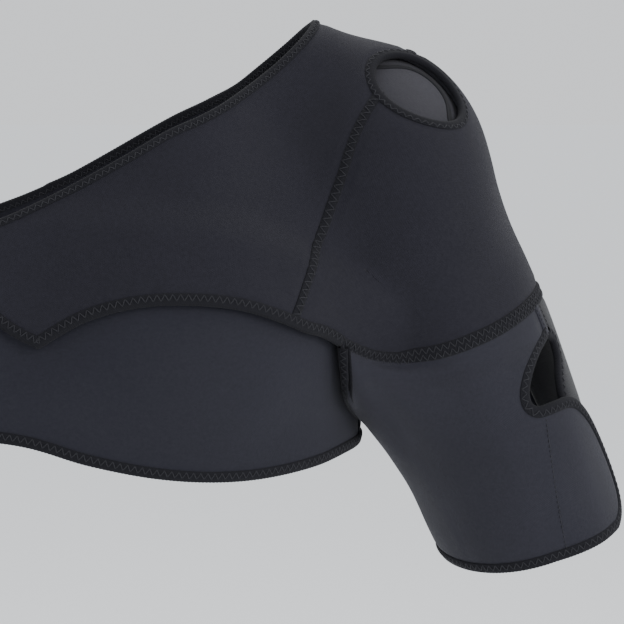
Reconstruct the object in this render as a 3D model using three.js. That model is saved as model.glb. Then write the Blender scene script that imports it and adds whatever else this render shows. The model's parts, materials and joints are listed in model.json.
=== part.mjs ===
// Shoulder brace of padded stretch fabric: a yoke over one shoulder, a chest wrap and an arm sleeve.
// Millimetres, +Z up, the wearer faces -Y and +X points to the wearer's left, along the braced shoulder.
// The origin is the seat on top of the braced shoulder.

import * as THREE from 'three';
import { mergeVertices } from 'three/addons/utils/BufferGeometryUtils.js';

// Driving sizes of the wearer's form
const shoulderOut = 190;
const chestHalfWidth = 160;
const chestHalfDepth = 106;
const trunkHalfHeight = 255;
const hemDrop = 190;
const armTiltOut = 23;
const armTiltBack = 8.5;
const armRadius = 53.5;
const cuffRadius = 43;
const armDepthShare = 1.2;
const cuffDistance = 160;
const armWaist = 8;

// Driving sizes of the brace
const paddingThick = 3;
const skinGap = 0.4;
const bindingThick = 1;
const bindingWidth = 4.4;
const ringWidth = 3.6;
const neckBindingWidth = 2.8;
const tapeWidth = 7;
const seatGap = 0.6;
const layerGap = 0.3;
const seamGap = 0.8;
const sleeveGap = 1.4;
const carryLength = 60;
const innerLevel = -0.7;
const tapeClear = 0.7;
const hookThick = 1.1;
const innerThick = 1;
const openingHalfLong = 23.5;
const openingHalfShort = 21;
const openingSlant = 38;
const armOpeningWide = 15.5;
const armOpeningHigh = 12.5;
const armOpeningDistance = 96.5;
const armOpeningTurn = 42;
const armOpeningLean = 9;
const sleeveEnd = 182;
const sleeveSlant = 10;
const sleeveHemRound = 0.6;
const stripTuck = 9;
const seamDistance = 65;
const wrapEndRadius = 20;
const rampLength = 22;

// Levels of the layers over the form, measured to the middle of the padding
const baseLevel = skinGap + paddingThick / 2;
const bindingReach = paddingThick / 2 + seatGap + bindingThick;
const overLift = skinGap + paddingThick + layerGap + bindingReach - baseLevel;
const ringRise = 1.2;

// Small vector sums on [x, y, z] lists
const add = (a, b) => [a[0] + b[0], a[1] + b[1], a[2] + b[2]];
const sub = (a, b) => [a[0] - b[0], a[1] - b[1], a[2] - b[2]];
const times = (a, k) => [a[0] * k, a[1] * k, a[2] * k];
const dot = (a, b) => a[0] * b[0] + a[1] * b[1] + a[2] * b[2];
const cross = (a, b) => [a[1] * b[2] - a[2] * b[1], a[2] * b[0] - a[0] * b[2], a[0] * b[1] - a[1] * b[0]];
const size = (a) => Math.hypot(a[0], a[1], a[2]);
const unit = (a) => times(a, 1 / size(a));
const mix = (a, b, t) => a + (b - a) * t;
const between = (a, b, t) => add(times(a, 1 - t), times(b, t));
const clamp = (x, low, high) => Math.min(Math.max(x, low), high);
const radians = (degrees) => (degrees * Math.PI) / 180;

function ramp(from, to, x) {
  const t = clamp((x - from) / (to - from), 0, 1);
  return t * t * (3 - 2 * t);
}

// The worn form: how far a point lies outside rounded bodies, joined smoothly
function outsideEllipsoid(p, centre, half) {
  const q = sub(p, centre).map((v, i) => v / half[i]);
  const near = size(q);
  const slope = size(q.map((v, i) => v / half[i])) + 1e-9;
  return (near * (near - 1)) / slope;
}

function outsideBarrel(p, centre, half, power) {
  const q = sub(p, centre).map((v, i) => Math.abs(v / half[i]) + 1e-9);
  const reach = q.reduce((sum, v) => sum + v ** power, 0) ** (1 / power);
  const slope = q.map((v, i) => (v ** (power - 1) / half[i]) * reach ** (1 - power));
  return (reach - 1) / size(slope);
}

function outsideLimb(p, start, end, startRadius, endRadius) {
  const line = sub(end, start);
  const along = clamp(dot(sub(p, start), line) / dot(line, line), 0, 1);
  return size(sub(p, between(start, end, along))) - mix(startRadius, endRadius, along);
}

function blend(a, b, width) {
  const t = clamp(0.5 + (0.5 * (b - a)) / width, 0, 1);
  return mix(b, a, t) - width * t * (1 - t);
}

// Swellings of the form, as shares of shoulderOut, chestHalfDepth and hemDrop
const swellings = {
  breast: { across: 0.38, deep: -0.47, down: -0.62, wide: 0.39, thick: 0.565, high: 0.337 },
  blade: { across: 0.43, deep: 0.547, down: -0.63, wide: 0.43, thick: 0.47, high: 0.474 },
  cap: { across: 0.984, deep: 0, down: -0.39, wide: 0.197, thick: 0.53, high: 0.3 },
};
const girdle = {
  neck: { across: 0.242, deep: 0.09, down: 0.126, radius: 0.179 },
  tip: { across: 0.874, deep: 0.03, down: -0.124, radius: 0.16 },
};
const armBall = { across: 0.94, deep: -0.05, down: -0.353 };

const place = (row) => [row.across * shoulderOut, row.deep * chestHalfDepth, row.down * hemDrop];
const swellHalf = (row) => [row.wide * shoulderOut, row.thick * chestHalfDepth, row.high * hemDrop];

const armStart = place(armBall);
const armLine = unit([Math.tan(radians(armTiltOut)), Math.tan(radians(armTiltBack)), -1]);
const armOutward = unit(sub([1, 0, 0], times(armLine, armLine[0])));
const armForward = cross(armLine, armOutward);

function trunk(p) {
  const mirrored = [Math.hypot(p[0], 12), p[1], p[2]];
  const centre = [0, 0, -hemDrop];
  let out = outsideBarrel(p, centre, [chestHalfWidth, chestHalfDepth, trunkHalfHeight], 2.3);
  for (const name of ['breast', 'blade']) {
    const row = swellings[name];
    out = blend(out, outsideEllipsoid(mirrored, place(row), swellHalf(row)), 34);
  }
  const tips = [girdle.neck, girdle.tip];
  const radii = tips.map((row) => row.radius * shoulderOut);
  return blend(out, outsideLimb(p, place(tips[0]), place(tips[1]), radii[0], radii[1]), 30);
}

function alongArm(p) {
  return dot(sub(p, armStart), armLine);
}

function arm(p) {
  const share = alongArm(p) / cuffDistance;
  const held = clamp(share, 0, 1.6);
  const offset = sub(sub(p, armStart), times(armLine, held * cuffDistance));
  const waist = armWaist * Math.exp(-(((share - 0.05) / 0.26) ** 2));
  const radius = mix(armRadius, cuffRadius, held) - waist;
  const out = size([offset[0], offset[1] / armDepthShare, offset[2]]) - radius;
  return blend(out, outsideEllipsoid(p, place(swellings.cap), swellHalf(swellings.cap)), 16);
}

function worn(p) {
  return blend(trunk(p), arm(p), 40);
}

// Turn about the trunk, 0 in front and a quarter at the wearer's left side
function trunkTurn(p) {
  return Math.atan2(p[0] / chestHalfWidth, -p[1] / chestHalfDepth) / (2 * Math.PI);
}

// Turn about the arm in degrees, 0 outside and 90 in front
function armTurn(p) {
  const offset = sub(p, armStart);
  return (Math.atan2(dot(offset, armForward), dot(offset, armOutward)) * 180) / Math.PI;
}

// Reads a column of a table at a turn, smoothly between its rows
function readTable(rows, key, value, column) {
  let i = 1;
  while (i < rows.length - 1 && rows[i][key] < value) i += 1;
  const a = rows[Math.max(i - 2, 0)];
  const b = rows[i - 1];
  const c = rows[i];
  const d = rows[Math.min(i + 1, rows.length - 1)];
  const t = clamp((value - b[key]) / (c[key] - b[key]), 0, 1);
  const slopeB = b === a ? 0 : (c[column] - a[column]) / (c[key] - a[key]);
  const slopeC = d === c ? 0 : (d[column] - b[column]) / (d[key] - b[key]);
  const run = c[key] - b[key];
  const s = t * t * (3 - 2 * t);
  const bend = t * (1 - t) * ((1 - t) * slopeB * run - t * slopeC * run);
  return mix(b[column], c[column], s) + bend;
}

// The wrap's top edge and hem round the trunk, as shares of a turn and of hemDrop
const wrapRows = [
  { turn: -0.5, top: -0.48, hem: -0.91 },
  { turn: -0.44, top: -0.51, hem: -0.89 },
  { turn: -0.375, top: -0.55, hem: -0.89 },
  { turn: -0.3, top: -0.59, hem: -0.91 },
  { turn: -0.25, top: -0.59, hem: -0.905 },
  { turn: -0.19, top: -0.55, hem: -0.88 },
  { turn: -0.125, top: -0.48, hem: -0.86 },
  { turn: -0.055, top: -0.43, hem: -0.865 },
  { turn: 0, top: -0.41, hem: -0.888 },
  { turn: 0.035, top: -0.41, hem: -0.94 },
  { turn: 0.07, top: -0.42, hem: -0.975 },
  { turn: 0.108, top: -0.46, hem: -0.987 },
  { turn: 0.154, top: -0.57, hem: -0.975 },
  { turn: 0.188, top: -0.67, hem: -0.96 },
  { turn: 0.22, top: -0.765, hem: -0.955 },
  { turn: 0.25, top: -0.8, hem: -0.955 },
  { turn: 0.3, top: -0.74, hem: -0.97 },
  { turn: 0.346, top: -0.6, hem: -0.98 },
  { turn: 0.392, top: -0.47, hem: -0.985 },
  { turn: 0.44, top: -0.43, hem: -0.98 },
  { turn: 0.5, top: -0.45, hem: -0.93 },
];
const nearTurn = (turn) => turn - Math.floor(turn + 0.5);
const wrapTop = (turn) => readTable(wrapRows, 'turn', nearTurn(turn), 'top') * hemDrop;
const wrapHem = (turn) => readTable(wrapRows, 'turn', nearTurn(turn), 'hem') * hemDrop;
const sideSeamTurn = 0.225;
const wrapEndTurn = -0.475;
const backEndTurn = 0.605;
const wrapLiftTurn = -0.36;
const wrapTabTurn = -0.05;

// Extra height of what lies over the wrap
function overWrap(p) {
  const top = wrapTop(trunkTurn(p)) + 5;
  const low = 1 - ramp(top, top + rampLength, p[2]);
  return overLift * low * (1 - ramp(12, 34, trunk(p)));
}

// Centre of the shoulder opening and its two directions on the form
const openingSeed = { across: 0.995, deep: -0.25, down: -0.058 };

// Moves a point along the slope of a surface function until it lies on the surface
function slopeOf(surface, p) {
  const step = 0.25;
  return [0, 1, 2].map((axis) => {
    const high = [...p];
    const low = [...p];
    high[axis] += step;
    low[axis] -= step;
    return (surface(high) - surface(low)) / (2 * step);
  });
}

function settle(surface, seed) {
  let p = seed;
  for (let round = 0; round < 12; round += 1) {
    const slope = slopeOf(surface, p);
    const push = clamp(surface(p), -12, 12) / dot(slope, slope);
    p = sub(p, times(slope, push));
  }
  return p;
}

const facing = (surface, p) => unit(slopeOf(surface, p));

const openingCentre = settle(worn, place(openingSeed));
const openingFacing = facing(worn, openingCentre);
const openingRun = [Math.cos(radians(openingSlant)), -0.13, -Math.sin(radians(openingSlant))];
const openingLong = unit(sub(openingRun, times(openingFacing, dot(openingFacing, openingRun))));
const openingShort = cross(openingFacing, openingLong);

function openingReach(p) {
  const offset = sub(p, openingCentre);
  return Math.hypot(dot(offset, openingLong), dot(offset, openingShort));
}

function ringLift(p) {
  return ringRise * (1 - ramp(openingHalfLong + 4, openingHalfLong + 26, openingReach(p)));
}

const outerLayer = (p) => worn(p) - baseLevel - overWrap(p) - ringLift(p);

const armLayer = (p) => arm(p) - baseLevel;

function overStrip(p) {
  const turned = (1 - ramp(46, 80, armTurn(p))) * ramp(-50, -20, armTurn(p));
  return overLift * turned * ramp(seamDistance + 18, seamDistance + 46, alongArm(p));
}

const flapLayer = (p) => armLayer(p) - overStrip(p);
const wrapLayer = (p) => trunk(p) - baseLevel;

function wrapEndLayer(p) {
  const turn = trunkTurn(p);
  const over = 1 - ramp(wrapLiftTurn - 0.035, wrapLiftTurn, turn > 0.3 ? turn - 1 : turn);
  return trunk(p) - baseLevel - overLift * over;
}

// A smooth line through points, cut into equal steps between each two of them, sharp at the corners
function smoothLine(points, steps, corners = []) {
  const line = [];
  for (let i = 0; i + 1 < points.length; i += 1) {
    const before = i === 0 || corners.includes(i) ? points[i] : points[i - 1];
    const after = i + 2 >= points.length || corners.includes(i + 1) ? points[i + 1] : points[i + 2];
    for (let k = 0; k < steps; k += 1) {
      const t = k / steps;
      const shares = [
        -0.5 * t + t * t - 0.5 * t ** 3,
        1 - 2.5 * t * t + 1.5 * t ** 3,
        0.5 * t + 2 * t * t - 1.5 * t ** 3,
        -0.5 * t * t + 0.5 * t ** 3,
      ];
      const four = [before, points[i], points[i + 1], after];
      line.push(points[0].map((_, axis) => four.reduce((sum, q, n) => sum + q[axis] * shares[n], 0)));
    }
  }
  line.push([...points[points.length - 1]]);
  return line;
}

// Solids: vertices and quads become one closed mesh that faces outwards
function closedSolid(vertices, triangles) {
  let volume = 0;
  for (const [a, b, c] of triangles) volume += dot(vertices[a], cross(vertices[b], vertices[c]));
  const geometry = new THREE.BufferGeometry();
  geometry.setAttribute('position', new THREE.Float32BufferAttribute(vertices.flat(), 3));
  geometry.setIndex(triangles.flatMap(([a, b, c]) => (volume > 0 ? [a, b, c] : [a, c, b])));
  return mergeVertices(geometry, 1e-4);
}

const facingsOn = (surface, grid) => grid.map((row) => row.map((p) => facing(surface, p)));

// Facings of a sheet by its own points, turned away from the arm
function facingsRoundArm(grid) {
  const rows = grid.length - 1;
  const columns = grid[0].length - 1;
  return grid.map((row, i) =>
    row.map((p, j) => {
      const down = sub(grid[Math.min(i + 1, rows)][j], grid[Math.max(i - 1, 0)][j]);
      const round = sub(grid[i][Math.min(j + 1, columns)], grid[i][Math.max(j - 1, 0)]);
      const away = unit(cross(down, round));
      const offset = sub(sub(p, armStart), times(armLine, alongArm(p)));
      return dot(away, offset) < 0 ? times(away, -1) : away;
    }),
  );
}

// A sheet: grid is a list of rows of points on its middle, with the way it faces at each
function sheetSolid(grid, facings, thick) {
  const rows = grid.length;
  const columns = grid[0].length;
  const half = thick / 2;
  const outer = [];
  const inner = [];
  grid.forEach((row, i) => {
    row.forEach((p, j) => {
      outer.push(add(p, times(facings[i][j], half)));
      inner.push(add(p, times(facings[i][j], -half)));
    });
  });
  const count = rows * columns;
  const vertices = [...outer, ...inner];
  const triangles = [];
  const quad = (a, b, c, d) => {
    const first = size(sub(vertices[a], vertices[c])) <= size(sub(vertices[b], vertices[d]));
    if (first) triangles.push([a, b, c], [a, c, d]);
    else triangles.push([a, b, d], [b, c, d]);
  };
  for (let i = 0; i + 1 < rows; i += 1) {
    for (let j = 0; j + 1 < columns; j += 1) {
      const a = i * columns + j;
      const b = a + columns;
      const [c, d] = [b + 1, a + 1];
      quad(a, b, c, d);
      quad(count + d, count + c, count + b, count + a);
    }
  }
  const rim = [];
  for (let j = 0; j + 1 < columns; j += 1) rim.push(j);
  for (let i = 0; i + 1 < rows; i += 1) rim.push(i * columns + columns - 1);
  for (let j = columns - 1; j > 0; j -= 1) rim.push((rows - 1) * columns + j);
  for (let i = rows - 1; i > 0; i -= 1) rim.push(i * columns);
  rim.forEach((a, k) => {
    const b = rim[(k + 1) % rim.length];
    triangles.push([a, b, count + b], [a, count + b, count + a]);
  });
  return closedSolid(vertices, triangles);
}

// A section carried along a line: sections is a list of rings with as many points each
function carriedSolid(sections, closed) {
  const sides = sections[0].length;
  const vertices = sections.flat();
  const triangles = [];
  const spans = closed ? sections.length : sections.length - 1;
  for (let i = 0; i < spans; i += 1) {
    const next = (i + 1) % sections.length;
    for (let j = 0; j < sides; j += 1) {
      const k = (j + 1) % sides;
      const [a, b, c, d] = [i * sides + j, i * sides + k, next * sides + k, next * sides + j];
      triangles.push([a, b, c], [a, c, d]);
    }
  }
  if (!closed) {
    const last = (sections.length - 1) * sides;
    for (const [a, b, c, d] of [[0, 1, 6, 7], [1, 2, 5, 6], [2, 3, 4, 5]]) {
      if (sides === 8) {
        triangles.push([a, d, c], [a, c, b]);
        triangles.push([last + a, last + c, last + d], [last + a, last + b, last + c]);
      }
    }
    if (sides === 4) {
      triangles.push([0, 3, 2], [0, 2, 1], [last, last + 2, last + 3], [last, last + 1, last + 2]);
    }
  }
  return closedSolid(vertices, triangles);
}

// Directions across a line on a surface, pointing to the left of its run, even at corners
function acrossLine(line, surface, closed) {
  const last = line.length - 1;
  return line.map((p, i) => {
    const before = i > 0 ? line[i - 1] : closed ? line[last] : p;
    const after = i < last ? line[i + 1] : closed ? line[0] : p;
    const away = facing(surface, p);
    const sides = [];
    if (before !== p) sides.push(unit(cross(away, unit(sub(p, before)))));
    if (after !== p) sides.push(unit(cross(away, unit(sub(after, p)))));
    const middle = unit(sides.reduce(add));
    const spread = clamp(dot(middle, sides[0]), 0.6, 1);
    return { away, aside: times(middle, 1 / spread) };
  });
}

// Section of a folded tape that takes an edge at p between its two legs, which end over the point leg
function foldedSection(p, away, inward, leg, legAway) {
  const reach = paddingThick / 2 + seatGap;
  const fold = add(p, times(inward, -seatGap - bindingThick));
  const bottom = add(p, times(inward, -seatGap));
  return [
    add(leg, times(legAway, reach + bindingThick)),
    add(fold, times(away, 0.9 * (reach + bindingThick))),
    add(fold, times(away, -0.9 * (reach + bindingThick))),
    add(leg, times(legAway, -reach - bindingThick)),
    add(leg, times(legAway, -reach)),
    add(bottom, times(away, -reach)),
    add(bottom, times(away, reach)),
    add(leg, times(legAway, reach)),
  ];
}

// A binding along a line; side is 1 where the sheet lies left of the line's run
function bindingSolid(line, surface, side, closed = false, width = bindingWidth) {
  const frames = acrossLine(line, surface, closed);
  const sections = line.map((p, i) => {
    const { away, aside } = frames[i];
    const inward = times(aside, side);
    const leg = settle(surface, add(p, times(inward, width)));
    return foldedSection(p, away, inward, leg, facing(surface, leg));
  });
  return carriedSolid(sections, closed);
}

// A flat tape that lies on a surface, centred on a line
function tapeSolid(line, surface, level, width, thick, closed = false) {
  const frames = acrossLine(line, surface, closed);
  const sections = line.map((p, i) => {
    const edges = [1, -1].map((way) => {
      const q = settle(surface, add(p, times(frames[i].aside, (way * width) / 2)));
      return { q, away: facing(surface, q) };
    });
    return [
      add(edges[0].q, times(edges[0].away, level + thick)),
      add(edges[1].q, times(edges[1].away, level + thick)),
      add(edges[1].q, times(edges[1].away, level)),
      add(edges[0].q, times(edges[0].away, level)),
    ];
  });
  return carriedSolid(sections, closed);
}

// Rows of a sheet ruled from one line to another, with a close row under each bound edge
function ruledGrid(fromLine, toLine, surface, across) {
  return fromLine.map((a, i) => {
    const b = toLine[i];
    const edge = clamp((bindingWidth + 1.5) / size(sub(b, a)), 0.02, 0.3);
    const shares = [0, edge];
    for (let k = 1; k < across; k += 1) shares.push(mix(edge, 1 - edge, k / across));
    shares.push(1 - edge, 1);
    return shares.map((t) => settle(surface, between(a, b, t)));
  });
}

// Yoke: cross lines from the front tab over the shoulder to the back tab, from the neck edge to the
// outer edge, as shares of shoulderOut, chestHalfDepth and hemDrop. Corners of the outer edge are
// marked, and over the shoulder the outer edge follows the opening at an angle from its long side.
const yokeRows = [
  { neckX: -0.18, neckY: -1.02, neckZ: -0.425, edgeX: -0.125, edgeY: -1.04, edgeZ: -0.53 },
  { neckX: -0.12, neckY: -1, neckZ: -0.4, edgeX: -0.06, edgeY: -1.06, edgeZ: -0.57 },
  { neckX: -0.05, neckY: -0.97, neckZ: -0.365, edgeX: 0.005, edgeY: -1.08, edgeZ: -0.615 },
  { neckX: 0.02, neckY: -0.95, neckZ: -0.335, edgeX: 0.068, edgeY: -1.09, edgeZ: -0.647, corner: 'tab' },
  { neckX: 0.1, neckY: -0.92, neckZ: -0.295, edgeX: 0.18, edgeY: -1.11, edgeZ: -0.582 },
  { neckX: 0.2, neckY: -0.89, neckZ: -0.24, edgeX: 0.31, edgeY: -1.12, edgeZ: -0.546 },
  { neckX: 0.29, neckY: -0.84, neckZ: -0.19, edgeX: 0.44, edgeY: -1.11, edgeZ: -0.54 },
  { neckX: 0.38, neckY: -0.75, neckZ: -0.14, edgeX: 0.57, edgeY: -1.06, edgeZ: -0.556 },
  { neckX: 0.45, neckY: -0.68, neckZ: -0.11, edgeX: 0.685, edgeY: -0.95, edgeZ: -0.6, corner: 'seam' },
  { neckX: 0.505, neckY: -0.61, neckZ: -0.082, edgeX: 0.725, edgeY: -0.815, edgeZ: -0.48 },
  { neckX: 0.555, neckY: -0.52, neckZ: -0.05, edgeX: 0.766, edgeY: -0.67, edgeZ: -0.366 },
  { neckX: 0.604, neckY: -0.42, neckZ: -0.015, edgeX: 0.808, edgeY: -0.545, edgeZ: -0.26 },
  { neckX: 0.65, neckY: -0.32, neckZ: 0.023, edgeX: 0.851, edgeY: -0.44, edgeZ: -0.165 },
  { neckX: 0.685, neckY: -0.24, neckZ: 0.055, angle: 236, corner: 'ring' },
  { neckX: 0.71, neckY: -0.17, neckZ: 0.08, angle: 208 },
  { neckX: 0.73, neckY: -0.08, neckZ: 0.105, angle: 180 },
  { neckX: 0.737, neckY: 0.02, neckZ: 0.122, angle: 152 },
  { neckX: 0.735, neckY: 0.12, neckZ: 0.12, angle: 124, corner: 'ring' },
  { neckX: 0.715, neckY: 0.225, neckZ: 0.104, edgeX: 0.953, edgeY: 0.165, edgeZ: -0.01 },
  { neckX: 0.668, neckY: 0.345, neckZ: 0.06, edgeX: 0.922, edgeY: 0.345, edgeZ: -0.105 },
  { neckX: 0.604, neckY: 0.475, neckZ: 0.005, edgeX: 0.868, edgeY: 0.505, edgeZ: -0.26 },
  { neckX: 0.528, neckY: 0.6, neckZ: -0.054, edgeX: 0.796, edgeY: 0.65, edgeZ: -0.43 },
  { neckX: 0.44, neckY: 0.72, neckZ: -0.11, edgeX: 0.7, edgeY: 0.86, edgeZ: -0.6, corner: 'seam' },
  { neckX: 0.36, neckY: 0.8, neckZ: -0.15, edgeX: 0.57, edgeY: 0.96, edgeZ: -0.57 },
  { neckX: 0.27, neckY: 0.86, neckZ: -0.2, edgeX: 0.44, edgeY: 1, edgeZ: -0.555 },
  { neckX: 0.18, neckY: 0.9, neckZ: -0.25, edgeX: 0.31, edgeY: 1, edgeZ: -0.56 },
  { neckX: 0.08, neckY: 0.92, neckZ: -0.305, edgeX: 0.18, edgeY: 1, edgeZ: -0.595 },
  { neckX: 0, neckY: 0.93, neckZ: -0.345, edgeX: 0.068, edgeY: 1, edgeZ: -0.66, corner: 'tab' },
  { neckX: -0.07, neckY: 0.94, neckZ: -0.38, edgeX: 0.005, edgeY: 1, edgeZ: -0.62 },
  { neckX: -0.13, neckY: 0.95, neckZ: -0.41, edgeX: -0.06, edgeY: 0.99, edgeZ: -0.575 },
  { neckX: -0.18, neckY: 0.96, neckZ: -0.435, edgeX: -0.125, edgeY: 0.98, edgeZ: -0.535 },
];

// A point of the shoulder opening's cut edge at an angle from its long direction
function openingPoint(angle) {
  const cut = seatGap + bindingThick;
  const long = times(openingLong, (openingHalfLong + cut) * Math.cos(radians(angle)));
  const short = times(openingShort, (openingHalfShort + cut) * Math.sin(radians(angle)));
  return settle(outerLayer, add(openingCentre, add(long, short)));
}

const toOuter = (p) => settle(outerLayer, p);
const neckSeed = (row) => place({ across: row.neckX, deep: row.neckY, down: row.neckZ });
const edgeSeed = (row) => place({ across: row.edgeX, deep: row.edgeY, down: row.edgeZ });
const cornerRows = (kind) => yokeRows.map((row, i) => (row.corner === kind ? i : -1)).filter((i) => i >= 0);
const yokeSteps = 2;
const ringRows = cornerRows('ring');
const seamRows = cornerRows('seam');
const edgeCorners = [...cornerRows('tab'), ...seamRows, ...ringRows];
const edgePoint = (row) => (row.angle === undefined ? toOuter(edgeSeed(row)) : openingPoint(row.angle));
const edgePoints = yokeRows.map(edgePoint);
const neckLine = smoothLine(yokeRows.map((row) => toOuter(neckSeed(row))), yokeSteps).map(toOuter);
const yokeEdge = smoothLine(edgePoints, yokeSteps, edgeCorners).map(toOuter);

// Top edge of the sleeve, round the arm: where it starts and the turn at which it meets the sleeve's hem.
// The joins are the ends of the seam to the shoulder, and the edge between them hangs free under the arm.
const sleeveRows = [
  { turn: 0, across: 1.31, deep: 0.05, down: -0.57 },
  { turn: 22, across: 1.295, deep: -0.13, down: -0.58 },
  { turn: 45, across: 1.24, deep: -0.29, down: -0.613 },
  { turn: 66, across: 1.165, deep: -0.4, down: -0.65 },
  { turn: 84, across: 1.06, deep: -0.46, down: -0.687 },
  { turn: 97, across: 0.995, deep: -0.47, down: -0.7 },
  { turn: 108, across: 0.93, deep: -0.49, down: -0.71 },
  { turn: 118, across: 0.866, deep: -0.59, down: -0.7 },
  { turn: 127, across: 0.815, deep: -0.745, down: -0.668, join: true },
  { turn: 135, across: 0.83, deep: -0.57, down: -0.765 },
  { turn: 143, across: 0.845, deep: -0.42, down: -0.8 },
  { turn: 155, across: 0.87, deep: -0.23, down: -0.85 },
  { turn: 175, across: 0.91, deep: 0.05, down: -0.89 },
  { turn: 200, across: 0.89, deep: 0.33, down: -0.87 },
  { turn: 213, across: 0.86, deep: 0.5, down: -0.82 },
  { turn: 223, across: 0.835, deep: 0.64, down: -0.77 },
  { turn: 232, across: 0.815, deep: 0.8, down: -0.67, join: true },
  { turn: 242, across: 0.87, deep: 0.68, down: -0.7 },
  { turn: 253, across: 0.94, deep: 0.62, down: -0.71 },
  { turn: 264, across: 1, deep: 0.61, down: -0.7 },
  { turn: 278, across: 1.08, deep: 0.58, down: -0.687 },
  { turn: 296, across: 1.17, deep: 0.5, down: -0.655 },
  { turn: 316, across: 1.24, deep: 0.4, down: -0.62 },
  { turn: 338, across: 1.29, deep: 0.24, down: -0.585 },
  { turn: 360, across: 1.31, deep: 0.05, down: -0.57 },
];
const joinTurns = sleeveRows.filter((row) => row.join).map((row) => row.turn);
const wholeTurn = (turn) => ((turn % 360) + 360) % 360;
// A point of the sleeve's top edge, smooth except at the joins
function sleeveTop(turn) {
  const held = wholeTurn(turn);
  const last = sleeveRows.length - 1;
  let i = 0;
  while (i < last - 1 && sleeveRows[i + 1].turn <= held) i += 1;
  const b = sleeveRows[i];
  const c = sleeveRows[i + 1];
  const a = b.join ? b : sleeveRows[i === 0 ? last - 1 : i - 1];
  const d = c.join ? c : sleeveRows[i + 1 === last ? 1 : i + 2];
  const points = [a, b, c, d].map(place);
  const t = (held - b.turn) / (c.turn - b.turn);
  return smoothLine(points, 64)[64 + Math.round(t * 64)];
}

const turnLength = (armRadius * Math.PI) / 180;
function sleeveHem(turn) {
  const across = Math.cos(radians(turn));
  return sleeveEnd + sleeveSlant * (across - sleeveHemRound * ((1 + across) / 2) ** 2);
}

// A point over the arm at a turn and a distance from the shoulder ball
function armSeed(turn, distance) {
  const share = distance / cuffDistance;
  const radius = mix(armRadius, cuffRadius, share) + baseLevel;
  const side = add(times(armOutward, Math.cos(radians(turn))), times(armForward, Math.sin(radians(turn))));
  return add(add(armStart, times(armLine, distance)), times(side, radius));
}

// Top edge on the cloth: sewn to the shoulder between the joins, on the arm alone where it hangs free
function seamPoint(turn) {
  const held = wholeTurn(turn);
  const leaving = ramp(joinTurns[0], joinTurns[0] + 25, held);
  const free = leaving * (1 - ramp(joinTurns[1] - 25, joinTurns[1], held));
  const seed = sleeveTop(turn);
  return add(between(toOuter(seed), settle(armLayer, seed), free), times(armLine, sleeveGap));
}

// A point of the sleeve: on the arm's layer, carried off it near the top edge as far as that edge is
function sleevePoint(layer, turn, distance) {
  const top = seamPoint(turn);
  const start = alongArm(top);
  const carried = sub(top, settle(layer, armSeed(turn, start)));
  const share = 1 - ramp(start, start + carryLength, distance);
  return add(settle(layer, armSeed(turn, distance)), times(carried, share));
}

// Near end of the sleeve: the strip seam, the arm opening, the flap and its round corners.
// Turn in degrees, distance as a share of sleeveEnd, and the height share of the line that starts there.
function openingSide(angle) {
  const [across, down] = [Math.cos(radians(angle)), Math.sin(radians(angle))];
  const [wide, high] = [armOpeningWide + seatGap + bindingThick, armOpeningHigh + seatGap + bindingThick];
  return {
    turn: armOpeningTurn + (wide * across) / turnLength + armOpeningLean * down,
    far: (armOpeningDistance + high * down) / sleeveEnd,
  };
}
const sleeveNearEnd = [
  { turn: 32.5, far: 0.36, share: 0 },
  { turn: 32.5, far: 0.41, share: 0.05 },
  { ...openingSide(-95), share: 0.09 },
  { ...openingSide(-58), share: 0.13 },
  { ...openingSide(-26), share: 0.18 },
  { ...openingSide(4), share: 0.25 },
  { ...openingSide(32), share: 0.34 },
  { ...openingSide(60), share: 0.43 },
  { ...openingSide(90), share: 0.52 },
  { turn: 43, far: 0.617, share: 0.57 },
  { turn: 34, far: 0.645, share: 0.61 },
  { turn: 25, far: 0.7, share: 0.66 },
  { turn: 18.5, far: 0.765, share: 0.71 },
  { turn: 14.5, far: 0.83, share: 0.76 },
  { turn: 12.5, far: 0.89, share: 0.81 },
  { turn: 13.5, far: 0.94, share: 0.86 },
  { turn: 18, far: 0.977, share: 0.905 },
  { turn: 26, far: 1.002, share: 0.95 },
  { turn: 36, far: 1.0175, share: 1 },
];
const stripNearEnd = [
  { turn: 31.5, far: 0.36, share: 0 },
  { turn: 30.8, far: 0.41, share: 0.06 },
  { ...openingSide(-106), share: 0.13 },
  { ...openingSide(-145), share: 0.22 },
  { ...openingSide(-180), share: 0.32 },
  { ...openingSide(-215), share: 0.42 },
  { turn: 38, far: 0.64, share: 0.5 },
  { turn: 40, far: 0.72, share: 0.6 },
  { turn: 40, far: 0.82, share: 0.75 },
  { turn: 40, far: 0.92, share: 0.9 },
  { turn: 40, far: 1, share: 1 },
];
const frontColumn = 74;
const backColumn = 298;

// Lines of points from a near end to a column of the arm, then round the arm over the other columns
function armGrid(nearEnd, column, nearSteps, turns, hemCut, layer) {
  const hemAt = (turn) => sleeveHem(turn) - hemCut(turn);
  const topAt = (turn) => alongArm(seamPoint(turn));
  return nearEnd.map((row, j) => {
    const line = [];
    const meet = mix(topAt(column), hemAt(column), row.share);
    for (let i = 0; i < nearSteps; i += 1) {
      const turn = mix(row.turn, column, i / nearSteps);
      let distance = mix(row.far * sleeveEnd, meet, i / nearSteps);
      if (j === 0) distance = topAt(turn);
      if (j === nearEnd.length - 1 && i > 0) distance = hemAt(turn);
      line.push(sleevePoint(layer, turn, distance));
    }
    for (const turn of [column, ...turns]) {
      line.push(sleevePoint(layer, turn, mix(topAt(turn), hemAt(turn), row.share)));
    }
    return line;
  });
}

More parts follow.
